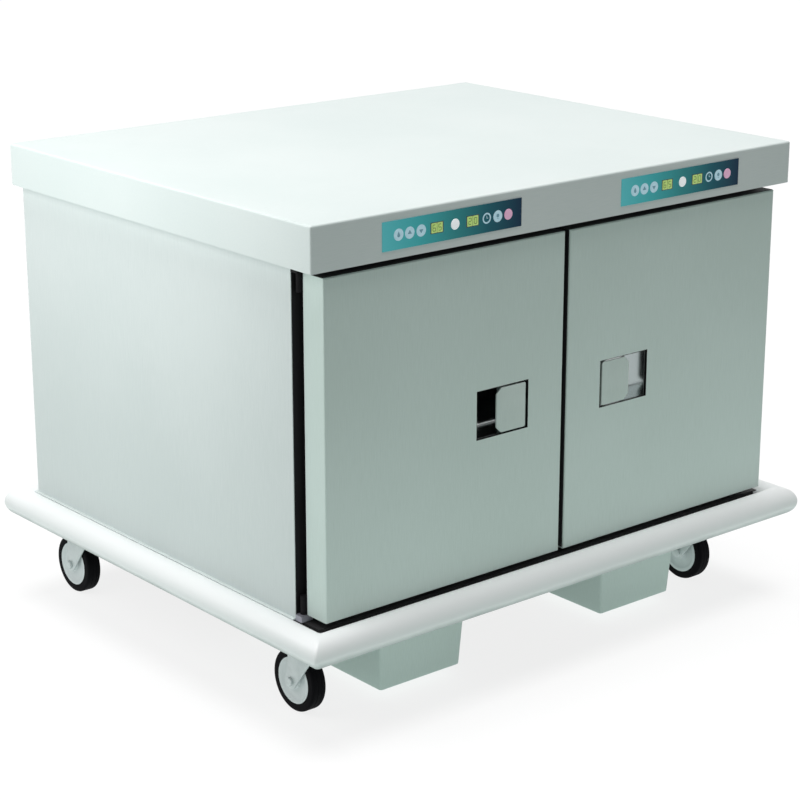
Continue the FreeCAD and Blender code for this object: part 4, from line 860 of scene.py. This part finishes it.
# Floor, light and camera: the floor shows plain white with a shadow, and throws light back from a tinted pool
studio = {"floorSize": 30, "floorSeen": 0.18, "floorGlow": 0.83, "floorBounce": 0.22, "floorRough": 0.9,
          "poolEdge": 3.0, "pool": ((0.08, (0.38, 0.44, 0.42)), (0.29, (0.71, 0.84, 0.80)),
                                    (0.35, (0.71, 0.84, 0.80)), (1.0, (0.03, 0.035, 0.035))),
          "sky": 0.09, "sun": 3.0, "sunAngle": 40, "sideLamp": 15.5, "sidePlace": (-1.6, 0.3, 1.4),
          "sideTilt": 90, "sideSize": 1.2, "cameraPlace": (-2.8325, -3.3915, 1.7988), "yaw": 39.839,
          "pitch": 17.204, "lens": 98.7, "sensor": 36}


# One for rays that come from the camera, a mirror or glass, and nought for the rest
def seenRays(tree):
    path = addNode(tree, "ShaderNodeLightPath").outputs
    straight = combine(tree, path["Is Camera Ray"], "MAXIMUM", path["Is Glossy Ray"])
    return combine(tree, straight, "MAXIMUM", path["Is Transmission Ray"])


def makeFloor(look):
    half = look["floorSize"] / 2
    mesh = bpy.data.meshes.new("floor")
    mesh.from_pydata([(half * i, half * j, 0) for i, j in quarters], [], [(0, 1, 2, 3)])
    paper, tree, shader = newFinish("floor_paper")
    shader.inputs["Roughness"].default_value = look["floorRough"]
    shader.inputs["Specular IOR Level"].default_value = 0.0
    rays = seenRays(tree)
    tones = ramp(tree, rays, ((0.0, (look["floorBounce"],) * 3), (1.0, (look["floorSeen"],) * 3)))
    tree.links.new(tones, shader.inputs["Base Color"])
    coords = addNode(tree, "ShaderNodeTexCoord")
    away = addNode(tree, "ShaderNodeVectorMath", ((0, coords.outputs["Object"]),), operation="LENGTH")
    pool = ramp(tree, spread(tree, away.outputs["Value"], 0.0, 1.0, 0.0, look["poolEdge"]), look["pool"])
    glow = addNode(tree, "ShaderNodeMixRGB", (
        ("Fac", rays), ("Color1", pool), ("Color2", (*(look["floorGlow"],) * 3, 1))))
    lightUp(tree, shader, glow.outputs["Color"], 1.0)
    mesh.materials.append(paper)
    floor = bpy.data.objects.new("floor", mesh)
    bpy.context.scene.collection.objects.link(floor)


def makeStudio(look):
    scene = bpy.context.scene
    world = bpy.data.worlds.new("studio")
    scene.world = world
    world.use_nodes = True
    tree = world.node_tree
    backdrop = tree.nodes["Background"]
    backdrop.inputs["Color"].default_value = (1, 1, 1, 1)
    tree.links.new(spread(tree, seenRays(tree), look["sky"], 1.0, 0.0, 1.0), backdrop.inputs["Strength"])

    lamp = bpy.data.lights.new("window", "SUN")
    lamp.energy = look["sun"]
    lamp.angle = radians(look["sunAngle"])
    scene.collection.objects.link(bpy.data.objects.new("window", lamp))

    soft = bpy.data.lights.new("side_lamp", "AREA")
    soft.energy = look["sideLamp"]
    soft.size = look["sideSize"]
    sideLamp = bpy.data.objects.new("side_lamp", soft)
    sideLamp.location = look["sidePlace"]
    sideLamp.rotation_euler = (0, radians(-look["sideTilt"]), 0)
    scene.collection.objects.link(sideLamp)

    lens = bpy.data.cameras.new("camera")
    lens.lens = look["lens"]
    lens.sensor_width = look["sensor"]
    camera = bpy.data.objects.new("camera", lens)
    camera.location = look["cameraPlace"]
    camera.rotation_euler = (radians(90 - look["pitch"]), 0, radians(-look["yaw"]))
    scene.collection.objects.link(camera)
    scene.camera = camera
    scene.view_settings.view_transform = "Standard"


makeFloor(studio)
makeStudio(studio)
print("studio done")
